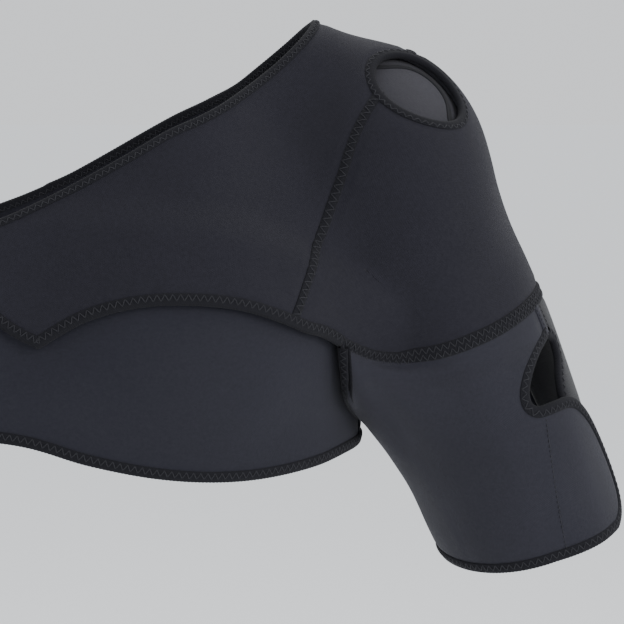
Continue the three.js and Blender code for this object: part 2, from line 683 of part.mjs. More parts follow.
const isBetween = (turn) => turn > frontColumn && turn < backColumn - 3;
const tableTurns = sleeveRows.map((row) => row.turn).filter(isBetween);
const sleeveGrid = armGrid(sleeveNearEnd, frontColumn, 6, [...tableTurns, backColumn], () => 0, flapLayer);
const stripHemCut = (turn) => stripTuck * ramp(4, 16, turn);
const stripGrid = armGrid(stripNearEnd, backColumn - 359, 9, [], stripHemCut, armLayer);

// Shoulder panel: bounded by the opening, both seams to the yoke, the free lower edges and the sleeve seam
const rotateAside = (line, surface, shift) =>
  acrossLine(line, surface, false).map(({ aside }, i) => settle(surface, add(line[i], times(aside, shift))));
const frontSeam = yokeEdge.slice(seamRows[0] * yokeSteps, ringRows[0] * yokeSteps + 1);
const backSeam = yokeEdge.slice(ringRows[1] * yokeSteps, seamRows[1] * yokeSteps + 1);
const panelFront = rotateAside(frontSeam, outerLayer, -seamGap).reverse();
const panelBack = rotateAside(backSeam, outerLayer, -seamGap);
const arcStart = yokeRows[ringRows[0]].angle;
const arcEnd = yokeRows[ringRows[1]].angle + 360;
const frontFoot = [
  { across: 0.735, deep: -0.9, down: -0.622 },
  { across: 0.775, deep: -0.83, down: -0.638 },
];
const backFoot = [
  { across: 0.775, deep: 0.82, down: -0.638 },
  { across: 0.74, deep: 0.85, down: -0.62 },
];
const seamTurns = [118, 108, 97, 84, 66, 45, 22, 0, -22, -42, -57, -70, -83, -96, -107, -118];
const seamPoints = [joinTurns[0], ...seamTurns, joinTurns[1] - 360].map((turn) => toOuter(sleeveTop(turn)));
const footLine = [
  panelFront[panelFront.length - 1],
  ...frontFoot.map(place).map(toOuter),
  ...seamPoints,
  ...backFoot.map(place).map(toOuter),
  panelBack[panelBack.length - 1],
];
const panelBottom = footLine;
const panelSteps = panelBottom.length - 1;
const panelTop = panelBottom.map((_, i) => openingPoint(mix(arcStart + 2, arcEnd - 2, i / panelSteps)));

// Fills a patch between four lines at shares of its height: top and bottom run across, front and back down
function patchGrid(top, bottom, front, back, shares, surface) {
  const pick = (line, share) => {
    const at = share * (line.length - 1);
    const k = Math.min(Math.floor(at + 1e-9), line.length - 2);
    return between(line[k], line[k + 1], at - k);
  };
  const across = top.length - 1;
  return shares.map((v) =>
    top.map((upper, i) => {
      const u = i / across;
      if (v === 0) return upper;
      if (v === 1) return bottom[i];
      if (i === 0) return pick(front, v);
      if (i === across) return pick(back, v);
      const lines = add(between(upper, bottom[i], v), between(pick(front, v), pick(back, v), u));
      const ends = between(between(top[0], top[across], u), between(bottom[0], bottom[across], u), v);
      return settle(surface, sub(lines, ends));
    }),
  );
}
const panelShares = [0, 0.05, 0.2, 0.35, 0.5, 0.65, 0.8, 0.93, 1];
const panelGrid = patchGrid(panelTop, panelBottom, panelFront, panelBack, panelShares, outerLayer);

// Wrap: from the side seam round the trunk, with a rounded end where it closes behind
function wrapSeed(turn, height) {
  const angle = turn * 2 * Math.PI;
  return [1.02 * chestHalfWidth * Math.sin(angle), -1.02 * chestHalfDepth * Math.cos(angle), height];
}

function wrapGrid(fromTurn, toTurn, columns, rounded, surface) {
  const shares = [0, 0.1, 0.3, 0.5, 0.7, 0.9, 1];
  const girth = Math.PI * (chestHalfWidth + chestHalfDepth);
  const turns = [];
  for (let i = 0; i <= columns; i += 1) turns.push(mix(fromTurn, toTurn, i / columns));
  if (rounded) {
    const last = Math.sign(toTurn - fromTurn);
    const ends = [0.93, 0.75, 0.5, 0.25, 0.07].map((part) => toTurn - (last * part * wrapEndRadius) / girth);
    const keep = turns.filter((turn) => (toTurn - turn) * last > (1.3 * wrapEndRadius) / girth);
    turns.splice(0, turns.length, ...keep, ...ends, toTurn);
  }
  return turns.map((turn) => {
    const left = clamp((Math.abs(toTurn - turn) * girth) / wrapEndRadius, 0, 1);
    const inset = rounded ? wrapEndRadius * (1 - Math.sqrt(1 - (1 - left) ** 2)) : 0;
    const top = wrapTop(turn) - inset;
    const hem = wrapHem(turn) + inset;
    return shares.map((share) => settle(surface, wrapSeed(turn, mix(top, hem, share))));
  });
}
const chestGrid = wrapGrid(sideSeamTurn, wrapEndTurn, 35, true, wrapEndLayer);
const backGrid = wrapGrid(sideSeamTurn + 0.001, backEndTurn, 20, false, wrapLayer);
// Edges that the bindings take
const yokeGrid = ruledGrid(neckLine, yokeEdge, outerLayer, 4);
const yokeArc = yokeEdge.slice(ringRows[0] * yokeSteps, ringRows[1] * yokeSteps + 1);
const ringLine = [...panelTop, ...yokeArc.reverse()];
const [frontEnd, backEnd] = [yokeGrid[0], yokeGrid[yokeGrid.length - 1]];
const endGap = (end) => between(end[3], end[4], 0.2);
const neckEdge = [...frontEnd.slice(0, 4).reverse(), ...neckLine.slice(1, -1), ...backEnd.slice(0, 4)];
const frontYoke = yokeEdge.slice(1, seamRows[0] * yokeSteps + 1);
const backYoke = yokeEdge.slice(seamRows[1] * yokeSteps, -1);
const frontEdge = [endGap(frontEnd), ...frontEnd.slice(4), ...frontYoke, ...panelBottom.slice(1, 4)];
const backEdge = [...panelBottom.slice(-4, -1), ...backYoke, ...backEnd.slice(4).reverse(), endGap(backEnd)];
const firstColumn = (grid) => grid.map((row) => row[0]);
const sleeveEdge = [...firstColumn(sleeveGrid).slice(2), ...sleeveGrid[sleeveGrid.length - 1].slice(1)];
const stripOpeningEdge = firstColumn(stripGrid).slice(2, 6);
const stripHemEdge = stripGrid[stripGrid.length - 1].slice(4);
const wrapTopEdge = (grid, from) => grid.slice(from, -1).map((column) => column[0]);
const wrapHemEdge = (grid) => grid.map((column) => column[column.length - 1]);
const wrapEnd = chestGrid[chestGrid.length - 1].slice(0, -1).reverse();
const tabColumn = chestGrid.findIndex((column) => trunkTurn(column[0]) < wrapTabTurn);
const chestWrapEdge = [...wrapHemEdge(chestGrid), ...wrapEnd, ...wrapTopEdge(chestGrid, tabColumn).reverse()];

// A point of a sheet and the way it faces, so far down one of its columns from the first row
function downColumn(grid, facings, column, distance) {
  let left = distance;
  for (let i = 0; ; i += 1) {
    const [p, q] = [grid[i][column], grid[i + 1][column]];
    const run = size(sub(q, p));
    if (left <= run || i + 2 === grid.length) {
      const share = left / run;
      const away = unit(between(facings[i][column], facings[i + 1][column], share));
      return { p: between(p, q, share), away };
    }
    left -= run;
  }
}

// Binding of a sheet's first row over some of its columns
function columnBinding(grid, facings, columns) {
  const sections = columns.map((j) => {
    const leg = downColumn(grid, facings, j, bindingWidth);
    const inward = unit(sub(leg.p, grid[0][j]));
    return foldedSection(grid[0][j], facings[0][j], inward, leg.p, leg.away);
  });
  return carriedSolid(sections, false);
}

// Tape over a sheet's first rows, between two distances from its edge
function columnTape(grid, facings, columns, near, far, level, thick) {
  const sections = columns.map((j) => {
    const [a, b] = [near, far].map((distance) => downColumn(grid, facings, j, distance));
    const lift = (q, height) => add(q.p, times(q.away, height));
    return [lift(a, level + thick), lift(b, level + thick), lift(b, level), lift(a, level)];
  });
  return carriedSolid(sections, false);
}
const sleeveColumnTurns = [...Array(6).fill(0), frontColumn, ...tableTurns, backColumn];
const isFree = (turn) => turn > joinTurns[0] && turn < joinTurns[1];
const columnNumbers = sleeveColumnTurns.map((turn, j) => (isFree(turn) ? j : -1));
const freeColumns = columnNumbers.filter((j) => j >= 0).slice(1);
const upPanel = [...panelGrid].reverse();
const seamColumns = seamPoints.map((_, i) => i + 3).slice(1, -1);

// The panel under the opening: a square of points drawn out to an oval
function innerGrid(steps, reach) {
  const grid = [];
  for (let i = 0; i <= steps; i += 1) {
    const row = [];
    for (let j = 0; j <= steps; j += 1) {
      const [u, v] = [(2 * i) / steps - 1, (2 * j) / steps - 1];
      const long = times(openingLong, reach * openingHalfLong * u * Math.sqrt(1 - (v * v) / 2));
      const short = times(openingShort, reach * openingHalfShort * v * Math.sqrt(1 - (u * u) / 2));
      row.push(settle(innerLayer, add(openingCentre, add(long, short))));
    }
    grid.push(row);
  }
  return grid;
}
const innerLayer = (p) => worn(p) - innerLevel;
const panelUnder = innerGrid(8, 1.32);
const innerTapeLine = [155, 135, 115, 95, 75, 55, 36, 18].map((angle) => {
  const long = times(openingLong, 0.8 * openingHalfLong * Math.cos(radians(angle)));
  const short = times(openingShort, 0.8 * openingHalfShort * Math.sin(radians(angle)));
  return settle(innerLayer, add(openingCentre, add(long, short)));
});

// Patches of hook tape between the overlapping layers, on the lower one
const hookLevel = paddingThick / 2 + layerGap;
const armHookLayer = (p) => armLayer(p) - hookLevel - hookThick / 2;
const wrapHookLayer = (p) => wrapLayer(p) - hookLevel - hookThick / 2;
const armHookGrid = [144, 152, 160, 168].map((distance) =>
  [25, 29, 33, 37].map((turn) => settle(armHookLayer, armSeed(turn, distance))),
);
const wrapHookGrid = [-0.461, -0.45, -0.436, -0.422, -0.409].map((turn) =>
  [0.14, 0.32, 0.5, 0.68, 0.86].map((share) =>
    settle(wrapHookLayer, wrapSeed(turn, mix(wrapTop(turn), wrapHem(turn), share))),
  ),
);

const cloths = {
  shoulder: { colour: 0x26262e, roughness: 0.78 },
  wrap: { colour: 0x2d2e38, roughness: 0.72 },
  sleeve: { colour: 0x373842, roughness: 0.72 },
  binding: { colour: 0x1b1b20, roughness: 0.85 },
  loop: { colour: 0x202024, roughness: 0.95 },
  inner: { colour: 0x44464e, roughness: 0.8 },
};

const group = new THREE.Group();

function addPiece(name, geometry, cloth) {
  const { colour, roughness } = cloths[cloth];
  const material = new THREE.MeshStandardMaterial({ color: colour, roughness, metalness: 0 });
  const mesh = new THREE.Mesh(geometry, material);
  mesh.name = name;
  group.add(mesh);
}

const sleeveFacings = facingsRoundArm(sleeveGrid);
const stripFacings = facingsRoundArm(stripGrid);
addPiece('yoke', sheetSolid(yokeGrid, facingsOn(outerLayer, yokeGrid), paddingThick), 'shoulder');
addPiece('shoulder_panel', sheetSolid(panelGrid, facingsOn(outerLayer, panelGrid), paddingThick), 'shoulder');
addPiece('chest_wrap', sheetSolid(chestGrid, facingsOn(wrapEndLayer, chestGrid), paddingThick), 'wrap');
addPiece('back_wrap', sheetSolid(backGrid, facingsOn(wrapLayer, backGrid), paddingThick), 'wrap');
addPiece('arm_sleeve', sheetSolid(sleeveGrid, sleeveFacings, paddingThick), 'sleeve');
addPiece('loop_strip', sheetSolid(stripGrid, stripFacings, paddingThick), 'loop');
addPiece('inner_panel', sheetSolid(panelUnder, facingsOn(innerLayer, panelUnder), innerThick), 'inner');
addPiece('inner_tape', tapeSolid(innerTapeLine, innerLayer, innerThick / 2 + layerGap, 2.2, 0.6), 'loop');
addPiece('wrap_hook_tape', sheetSolid(wrapHookGrid, facingsOn(wrapLayer, wrapHookGrid), hookThick), 'loop');
addPiece('arm_hook_tape', sheetSolid(armHookGrid, facingsOn(armLayer, armHookGrid), hookThick), 'loop');
const upPanelFacings = facingsOn(outerLayer, upPanel);
const seamTapeLevel = hookLevel + tapeClear;
const seamTape = columnTape(
  upPanel,
  upPanelFacings,
  seamColumns,
  layerGap,
  tapeWidth,
  seamTapeLevel,
  bindingThick,
);
addPiece('sleeve_seam_tape', seamTape, 'binding');
addPiece('neck_binding', bindingSolid(neckEdge, outerLayer, -1, false, neckBindingWidth), 'binding');
addPiece('front_edge_binding', bindingSolid(frontEdge, outerLayer, 1), 'binding');
addPiece('back_edge_binding', bindingSolid(backEdge, outerLayer, 1), 'binding');
addPiece('opening_ring', bindingSolid(ringLine, outerLayer, -1, true, ringWidth), 'binding');
addPiece('chest_wrap_binding', bindingSolid(chestWrapEdge, wrapEndLayer, -1), 'binding');
addPiece('back_wrap_binding', bindingSolid(wrapHemEdge(backGrid).slice(0, 16), wrapLayer, 1), 'binding');
addPiece('sleeve_binding', bindingSolid(sleeveEdge, flapLayer, -1), 'binding');
addPiece('underarm_binding', columnBinding(sleeveGrid, sleeveFacings, freeColumns), 'binding');
addPiece('strip_opening_binding', bindingSolid(stripOpeningEdge, armLayer, 1), 'binding');
addPiece('strip_hem_binding', bindingSolid(stripHemEdge, armLayer, 1), 'binding');

// The origin sits on the form at the top of the braced shoulder
let seatHeight = 0;
for (let round = 0; round < 20; round += 1) seatHeight -= 0.8 * worn([shoulderOut, 0, seatHeight]);
group.position.set(-shoulderOut, 0, -seatHeight);

export default group;
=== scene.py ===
# Shoulder brace of padded stretch cloth. Shapes are worked out in millimetres on the body of its wearer,
# from the centre line at shoulder height, and go into the mesh in metres with the origin on the shoulder.
import json

import bpy
import numpy as np
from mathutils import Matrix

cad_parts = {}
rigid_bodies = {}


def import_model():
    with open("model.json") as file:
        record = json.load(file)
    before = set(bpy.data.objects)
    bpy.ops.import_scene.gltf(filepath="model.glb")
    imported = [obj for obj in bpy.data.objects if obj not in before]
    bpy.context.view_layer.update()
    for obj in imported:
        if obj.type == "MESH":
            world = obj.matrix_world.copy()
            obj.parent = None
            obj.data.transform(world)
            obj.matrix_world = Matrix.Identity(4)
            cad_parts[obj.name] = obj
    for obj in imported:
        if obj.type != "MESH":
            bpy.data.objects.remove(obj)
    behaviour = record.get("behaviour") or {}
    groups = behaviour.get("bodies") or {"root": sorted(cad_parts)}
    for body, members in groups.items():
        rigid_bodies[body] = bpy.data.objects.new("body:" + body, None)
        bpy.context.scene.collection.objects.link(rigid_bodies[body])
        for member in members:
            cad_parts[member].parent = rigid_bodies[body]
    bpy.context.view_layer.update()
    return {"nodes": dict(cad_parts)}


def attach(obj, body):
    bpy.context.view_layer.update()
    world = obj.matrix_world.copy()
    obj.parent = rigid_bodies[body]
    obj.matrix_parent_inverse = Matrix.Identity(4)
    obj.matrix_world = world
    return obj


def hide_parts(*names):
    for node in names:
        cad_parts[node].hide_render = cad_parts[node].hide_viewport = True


for thing in list(bpy.data.objects):
    bpy.data.objects.remove(thing)
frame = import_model()

# The yoke: two layers of jersey on thin foam, cut in one from the chest tab over the shoulder to the back.
# It lies on the wearer's trunk and over the chest band, and its top edge stands round the neck.
SHOULDER_OUT = 190.0
CHEST_HALF = np.array([160.0, 106.0, 255.0])
HEM_DROP = 190.0
FORM_UNITS = np.array([SHOULDER_OUT, CHEST_HALF[1], HEM_DROP])
ARM_TILT = np.radians([23.0, 8.5])
ARM_RADIUS, CUFF_RADIUS, CUFF_DISTANCE = 53.5, 43.0, 160.0
ARM_WAIST, ARM_DEPTH_SHARE = 8.0, 1.2
PADDING, SKIN_GAP = 3.0, 0.4
BASE_LEVEL = SKIN_GAP + PADDING / 2
OVER_LIFT, RAMP_LENGTH, RING_RISE = 4.8, 22.0, 1.2
BREAST = np.array([[0.38, -0.47, -0.62], [0.39, 0.565, 0.337]]) * FORM_UNITS
BLADE = np.array([[0.43, 0.547, -0.63], [0.43, 0.47, 0.474]]) * FORM_UNITS
CAP = np.array([[0.984, 0.0, -0.39], [0.197, 0.53, 0.3]]) * FORM_UNITS
GIRDLE_NECK = np.array([0.242, 0.09, 0.126]) * FORM_UNITS
GIRDLE_TIP = np.array([0.874, 0.03, -0.124]) * FORM_UNITS
GIRDLE_RADII = (0.179 * SHOULDER_OUT, 0.16 * SHOULDER_OUT)
ARM_START = np.array([0.94, -0.05, -0.353]) * FORM_UNITS
ARM_LINE = np.array([np.tan(ARM_TILT[0]), np.tan(ARM_TILT[1]), -1.0])
ARM_LINE /= np.linalg.norm(ARM_LINE)
ARM_OUTWARD = np.array([1.0, 0.0, 0.0]) - ARM_LINE * ARM_LINE[0]
ARM_OUTWARD /= np.linalg.norm(ARM_OUTWARD)
ARM_FORWARD = np.cross(ARM_LINE, ARM_OUTWARD)


def ramp(low, high, x):
    """Goes from 0 at low to 1 at high as 3t^2 - 2t^3."""
    t = np.clip((x - low) / (high - low), 0, 1)
    return t * t * (3 - 2 * t)


def length(v):
    """Length of the vectors on the last axis."""
    return np.sqrt((v * v).sum(-1))


def unit(v):
    """Vectors over their lengths."""
    return v / np.maximum(length(v), 1e-9)[..., None]


def rows_at(places, known, rows):
    """Rows of a table at some places, each column interpolated between the known ones."""
    return np.stack([np.interp(places, known, column) for column in rows.T], -1)


def melt(a, b, width):
    """The lesser of two distances, rounded over a width where they are near each other."""
    t = np.clip(0.5 + 0.5 * (b - a) / width, 0, 1)
    return b + (a - b) * t - width * t * (1 - t)


def outside_oval(p, oval):
    """Distance outside an ellipsoid: k(k - 1) over the slope, where k is the point's size in half axes."""
    q = (p - oval[0]) / oval[1]
    k = length(q)
    return k * (k - 1) / (length(q / oval[1]) + 1e-9)


def trunk(p):
    """Distance outside the trunk: a barrel, two pairs of swellings and the round of the shoulder girdle."""
    q = np.abs((p + [0, 0, HEM_DROP]) / CHEST_HALF) + 1e-9
    reach = (q**2.3).sum(-1) ** (1 / 2.3)
    slope = length(q**1.3 / CHEST_HALF * reach[..., None] ** -1.3)
    out = (reach - 1) / slope
    mirrored = p.copy()
    mirrored[..., 0] = np.hypot(p[..., 0], 12)
    out = melt(out, outside_oval(mirrored, BREAST), 34)
    out = melt(out, outside_oval(mirrored, BLADE), 34)
    line = GIRDLE_TIP - GIRDLE_NECK
    along = np.clip((p - GIRDLE_NECK) @ line / (line @ line), 0, 1)
    radius = GIRDLE_RADII[0] + (GIRDLE_RADII[1] - GIRDLE_RADII[0]) * along
    return melt(out, length(p - GIRDLE_NECK - along[..., None] * line) - radius, 30)


def along_arm(p):
    """Distance down the arm from the shoulder ball."""
    return (p - ARM_START) @ ARM_LINE


def arm(p):
    """Distance outside the arm: a cone deeper than wide, with a waist under the swelling of the shoulder."""
    share = along_arm(p) / CUFF_DISTANCE
    held = np.clip(share, 0, 1.6)
    offset = p - ARM_START - (held * CUFF_DISTANCE)[..., None] * ARM_LINE
    waist = ARM_WAIST * np.exp(-(((share - 0.05) / 0.26) ** 2))
    radius = ARM_RADIUS + (CUFF_RADIUS - ARM_RADIUS) * held - waist
    out = length(offset / [1, ARM_DEPTH_SHARE, 1]) - radius
    return melt(out, outside_oval(p, CAP), 16)


def worn(p):
    """Distance outside the wearer: trunk and arm, rounded together."""
    return melt(trunk(p), arm(p), 40)


def slope_of(surface, p):
    """Slope of a surface function by differences of a quarter millimetre each way."""
    steps = np.eye(3) * 0.25
    return np.stack([(surface(p + s) - surface(p - s)) / 0.5 for s in steps], -1)


def settle(surface, p, rounds=10):
    """Moves points along the slope until the surface function is 0 there."""
    for _ in range(rounds):
        slope = slope_of(surface, p)
        push = np.clip(surface(p), -12, 12) / (slope * slope).sum(-1)
        p = p - slope * push[..., None]
    return p


def table_line(rows, steps, corners=()):
    """Smooth line through table rows, sharp at the corners: the cubic of four rows at equal steps."""
    rows = np.asarray(rows, float)
    count = len(rows)
    first = np.arange(count - 1)
    before = np.where(np.isin(first, corners) | (first == 0), first, first - 1)
    after = np.where(np.isin(first + 1, corners) | (first + 2 >= count), first + 1, first + 2)
    t = (np.arange(steps) / steps)[None, :, None]
    a, b, c, d = (rows[i][:, None, :] for i in (before, first, first + 1, after))
    line = (
        a * (-0.5 * t + t**2 - 0.5 * t**3)
        + b * (1 - 2.5 * t**2 + 1.5 * t**3)
        + c * (0.5 * t + 2 * t**2 - 1.5 * t**3)
        + d * (-0.5 * t**2 + 0.5 * t**3)
    )
    return np.concatenate([line.reshape(-1, rows.shape[1]), rows[-1:]])


# Turn about the trunk, then the band's top edge and hem there, as shares of HEM_DROP
BAND_ROWS = np.array([
    [-0.5, -0.48, -0.91], [-0.44, -0.51, -0.89], [-0.375, -0.55, -0.89], [-0.3, -0.59, -0.91],
    [-0.25, -0.59, -0.905], [-0.19, -0.55, -0.88], [-0.125, -0.48, -0.86], [-0.055, -0.43, -0.865],
    [0, -0.41, -0.888], [0.035, -0.41, -0.94], [0.07, -0.42, -0.975], [0.108, -0.46, -0.987],
    [0.154, -0.57, -0.975], [0.188, -0.67, -0.96], [0.22, -0.765, -0.955], [0.25, -0.8, -0.955],
    [0.3, -0.74, -0.97], [0.346, -0.6, -0.98], [0.392, -0.47, -0.985], [0.44, -0.43, -0.98],
    [0.5, -0.45, -0.93],
])
BAND_LINE = table_line(BAND_ROWS, 8)


def trunk_turn(p):
    """Turn about the trunk, 0 in front and a quarter at the braced side."""
    return np.arctan2(p[..., 0] / CHEST_HALF[0], -p[..., 1] / CHEST_HALF[1]) / (2 * np.pi)


def band_height(turn, column):
    """Height of the band's top edge (column 1) or hem (column 2) at a turn."""
    near = turn - np.floor(turn + 0.5)
    return np.interp(near, BAND_LINE[:, 0], BAND_LINE[:, column]) * HEM_DROP


def over_band(p):
    """Extra height of what lies over the band: whole below its top edge, none a ramp's length above it."""
    top = band_height(trunk_turn(p), 1) + 5
    return OVER_LIFT * (1 - ramp(top, top + RAMP_LENGTH, p[..., 2])) * (1 - ramp(12, 34, trunk(p)))


OPENING_LONG_HALF, OPENING_SHORT_HALF, EDGE_CUT = 23.5, 21.0, 1.2
opening_centre = settle(worn, np.array([[0.995, -0.25, -0.058]]) * FORM_UNITS)[0]
opening_facing = unit(slope_of(worn, opening_centre[None]))[0]
opening_long = np.array([np.cos(np.radians(38)), -0.13, -np.sin(np.radians(38))])
opening_long = unit(opening_long - opening_facing * (opening_facing @ opening_long))
opening_short = np.cross(opening_facing, opening_long)


def outer_layer(p):
    """Zero on the middle of the shoulder cloth: over the wearer and the band, raised near the opening."""
    offset = p - opening_centre
    reach = np.hypot(offset @ opening_long, offset @ opening_short)
    rise = RING_RISE * (1 - ramp(OPENING_LONG_HALF + 4, OPENING_LONG_HALF + 26, reach))
    return worn(p) - BASE_LEVEL - over_band(p) - rise


def opening_point(angle, grow=EDGE_CUT):
    """Edge of the opening: an oval of two half axes, at an angle in degrees from the long one."""
    a = np.radians(np.asarray(angle, float))[..., None]
    oval = opening_long * (OPENING_LONG_HALF + grow) * np.cos(a)
    oval = oval + opening_short * (OPENING_SHORT_HALF + grow) * np.sin(a)
    return settle(outer_layer, opening_centre + oval)


# From the chest tab to the back tab: the neck edge and the outer edge in shares of FORM_UNITS; on the
# opening's oval the outer edge is an angle instead, put in its first column with two zeros after it
YOKE_ROWS = np.array([
    [-0.18, -1.02, -0.425, -0.125, -1.04, -0.53], [-0.12, -1, -0.4, -0.06, -1.06, -0.57],
    [-0.05, -0.97, -0.365, 0.005, -1.08, -0.615], [0.02, -0.95, -0.335, 0.068, -1.09, -0.647],
    [0.1, -0.92, -0.295, 0.18, -1.11, -0.582], [0.2, -0.89, -0.24, 0.31, -1.12, -0.546],
    [0.29, -0.84, -0.19, 0.44, -1.11, -0.54], [0.38, -0.75, -0.14, 0.57, -1.06, -0.556],
    [0.45, -0.68, -0.11, 0.685, -0.95, -0.6], [0.505, -0.61, -0.082, 0.725, -0.815, -0.48],
    [0.555, -0.52, -0.05, 0.766, -0.67, -0.366], [0.604, -0.42, -0.015, 0.808, -0.545, -0.26],
    [0.65, -0.32, 0.023, 0.851, -0.44, -0.165], [0.685, -0.24, 0.055, 236, 0, 0],
    [0.71, -0.17, 0.08, 208, 0, 0], [0.73, -0.08, 0.105, 180, 0, 0], [0.737, 0.02, 0.122, 152, 0, 0],
    [0.735, 0.12, 0.12, 124, 0, 0], [0.715, 0.225, 0.104, 0.953, 0.165, -0.01],
    [0.668, 0.345, 0.06, 0.922, 0.345, -0.105], [0.604, 0.475, 0.005, 0.868, 0.505, -0.26],
    [0.528, 0.6, -0.054, 0.796, 0.65, -0.43], [0.44, 0.72, -0.11, 0.7, 0.86, -0.6],
    [0.36, 0.8, -0.15, 0.57, 0.96, -0.57], [0.27, 0.86, -0.2, 0.44, 1, -0.555],
    [0.18, 0.9, -0.25, 0.31, 1, -0.56], [0.08, 0.92, -0.305, 0.18, 1, -0.595],
    [0, 0.93, -0.345, 0.068, 1, -0.66], [-0.07, 0.94, -0.38, 0.005, 1, -0.62],
    [-0.13, 0.95, -0.41, -0.06, 0.99, -0.575], [-0.18, 0.96, -0.435, -0.125, 0.98, -0.535],
])
CHEST_TAB, FRONT_SEAM, RING_START, RING_END, BACK_SEAM, BACK_TAB = 3, 8, 13, 17, 22, 27
YOKE_STEPS = 6
edge_seeds = settle(outer_layer, YOKE_ROWS[:, 3:] * FORM_UNITS)
edge_seeds[RING_START : RING_END + 1] = opening_point(YOKE_ROWS[RING_START : RING_END + 1, 3])
corners = (CHEST_TAB, FRONT_SEAM, RING_START, RING_END, BACK_SEAM, BACK_TAB)
neck_line = settle(outer_layer, table_line(settle(outer_layer, YOKE_ROWS[:, :3] * FORM_UNITS), YOKE_STEPS))
yoke_edge = settle(outer_layer, table_line(edge_seeds, YOKE_STEPS, corners))


def close_to_ends(span, count, near=(0.0, 0.4, 1.1, 2.2, 4.0, 6.0)):
    """Shares of each span with points at the near distances from both ends, and count steps between."""
    span = np.asarray(span, float)[..., None]
    low = np.array(near) / span
    middle = np.linspace(0, 1, count + 1)[1:-1]
    middle = low[..., -1:] + (1 - 2 * low[..., -1:]) * middle
    return np.concatenate([low, middle, (1 - low)[..., ::-1]], -1)


def grid_facings(grid, away):
    """Unit normals of a grid by its own differences, on the side of the away vectors."""
    normal = unit(np.cross(np.gradient(grid, axis=0), np.gradient(grid, axis=1)))
    side = np.sign((normal * away).sum(-1))
    return normal * np.where(side == 0, 1, side)[..., None]


def grid_runs(grid):
    """Distances down and across a grid along its lines, from its first row and its first column."""
    down = np.concatenate([np.zeros((1, grid.shape[1])), length(np.diff(grid, axis=0)).cumsum(0)])
    over = np.concatenate([np.zeros((grid.shape[0], 1)), length(np.diff(grid, axis=1)).cumsum(1)], 1)
    return down, over


def rim_distance(grid):
    """Distance of each point of a grid from the nearest of its four sides, along its lines."""
    down, over = grid_runs(grid)
    return np.minimum(np.minimum(down, down[-1] - down), np.minimum(over, over[:, -1:] - over))


def soft_relief(grid, facings, height):
    """Slow swells of padded cloth: a sum of three sines over the place, fading to nothing at the rim."""
    x, y, z = np.moveaxis(grid, -1, 0)
    wave = np.sin(0.071 * x + 0.043 * z + 1.3) + 0.7 * np.sin(0.051 * y - 0.083 * z + 0.4)
    wave = wave + 0.5 * np.sin(0.117 * x + 0.09 * y - 0.06 * z)
    return grid + facings * (height * wave * ramp(4, 26, rim_distance(grid)))[..., None]


SEAT = np.array([SHOULDER_OUT, 0.0, 0.0])
for _ in range(20):
    SEAT[2] -= 0.8 * worn(SEAT[None])[0]


def add_mesh(name, points, faces, uv=None):
    """A mesh object from points in millimetres and faces of equal size, shaded smooth, in metres."""
    mesh = bpy.data.meshes.new(name)
    faces = np.asarray(faces, np.int32)
    mesh.from_pydata(((points - SEAT) / 1000).tolist(), [], faces.tolist())
    mesh.polygons.foreach_set("use_smooth", np.ones(len(faces), bool))
    if uv is not None:
        layer = mesh.uv_layers.new(name="cloth")
        corner = np.empty(len(mesh.loops), np.int32)
        mesh.loops.foreach_get("vertex_index", corner)
        layer.data.foreach_set("uv", uv[corner].astype(np.float32).ravel())
    piece = bpy.data.objects.new(name, mesh)
    bpy.context.scene.collection.objects.link(piece)
    return piece


def turn_outside(faces, points):
    """Faces, all turned round where their solid would have a negative volume."""
    a, b, c, d = (points[faces[:, k]] for k in range(4))
    volume = (a * np.cross(b, c)).sum() + (a * np.cross(c, d)).sum()
    return faces if volume > 0 else faces[:, ::-1]


def cloth_solid(name, grid, facings, thick=PADDING, squeeze=0.5):
    """Closed padded sheet: a grid moved half its thickness both ways, thinner by squeeze under its edge
    tapes and round at the rim, where the half thickness follows a quarter circle."""
    rows, columns = grid.shape[:2]
    rim = rim_distance(grid)
    half = thick / 2 - squeeze * (1 - ramp(3.5, 7.5, rim))
    half = half * np.sqrt(1 - (1 - np.clip(rim / 1.1, 0.02, 1)) ** 2)
    offset = facings * half[..., None]
    points = np.concatenate([(grid + offset).reshape(-1, 3), (grid - offset).reshape(-1, 3)])
    at = np.arange(rows * columns).reshape(rows, columns)
    a, b, c, d = at[:-1, :-1].ravel(), at[1:, :-1].ravel(), at[1:, 1:].ravel(), at[:-1, 1:].ravel()
    under = rows * columns
    loop = np.concatenate([at[0, :-1], at[:-1, -1], at[-1, :0:-1], at[:0:-1, 0]])
    after = np.roll(loop, -1)
    faces = np.concatenate([
        np.stack([a, b, c, d], 1), np.stack([d, c, b, a], 1) + under,
        np.stack([loop, after, after + under, loop + under], 1),
    ])
    down, over = grid_runs(grid)
    uv = np.stack([over, down], -1).reshape(-1, 2) / 1000
    return add_mesh(name, points, turn_outside(faces, points), np.concatenate([uv, uv]))


def ruled_grid(from_line, to_line, surface, count):
    """Rows straight from one line to another, settled on a surface."""
    share = close_to_ends(length(to_line - from_line), count)[..., None]
    return settle(surface, from_line[:, None] * (1 - share) + to_line[:, None] * share)


def end_rows(line, steps):
    """Adds lines close to both ends of a run of lines, at small shares of the first and last step."""
    count = len(line)
    near = np.array([0, 0.1, 0.3, 0.6])
    at = np.concatenate([near, np.arange(1, count - 1), count - 1 - near[::-1]])
    low = np.floor(at).astype(int).clip(0, count - 2)
    t = (at - low)[:, None]
    return line[low] * (1 - t) + line[low + 1] * t


yoke_grid = ruled_grid(end_rows(neck_line, YOKE_STEPS), end_rows(yoke_edge, YOKE_STEPS), outer_layer, 34)
yoke_facings = grid_facings(yoke_grid, slope_of(outer_layer, yoke_grid))
yoke_grid = soft_relief(yoke_grid, yoke_facings, 0.35)


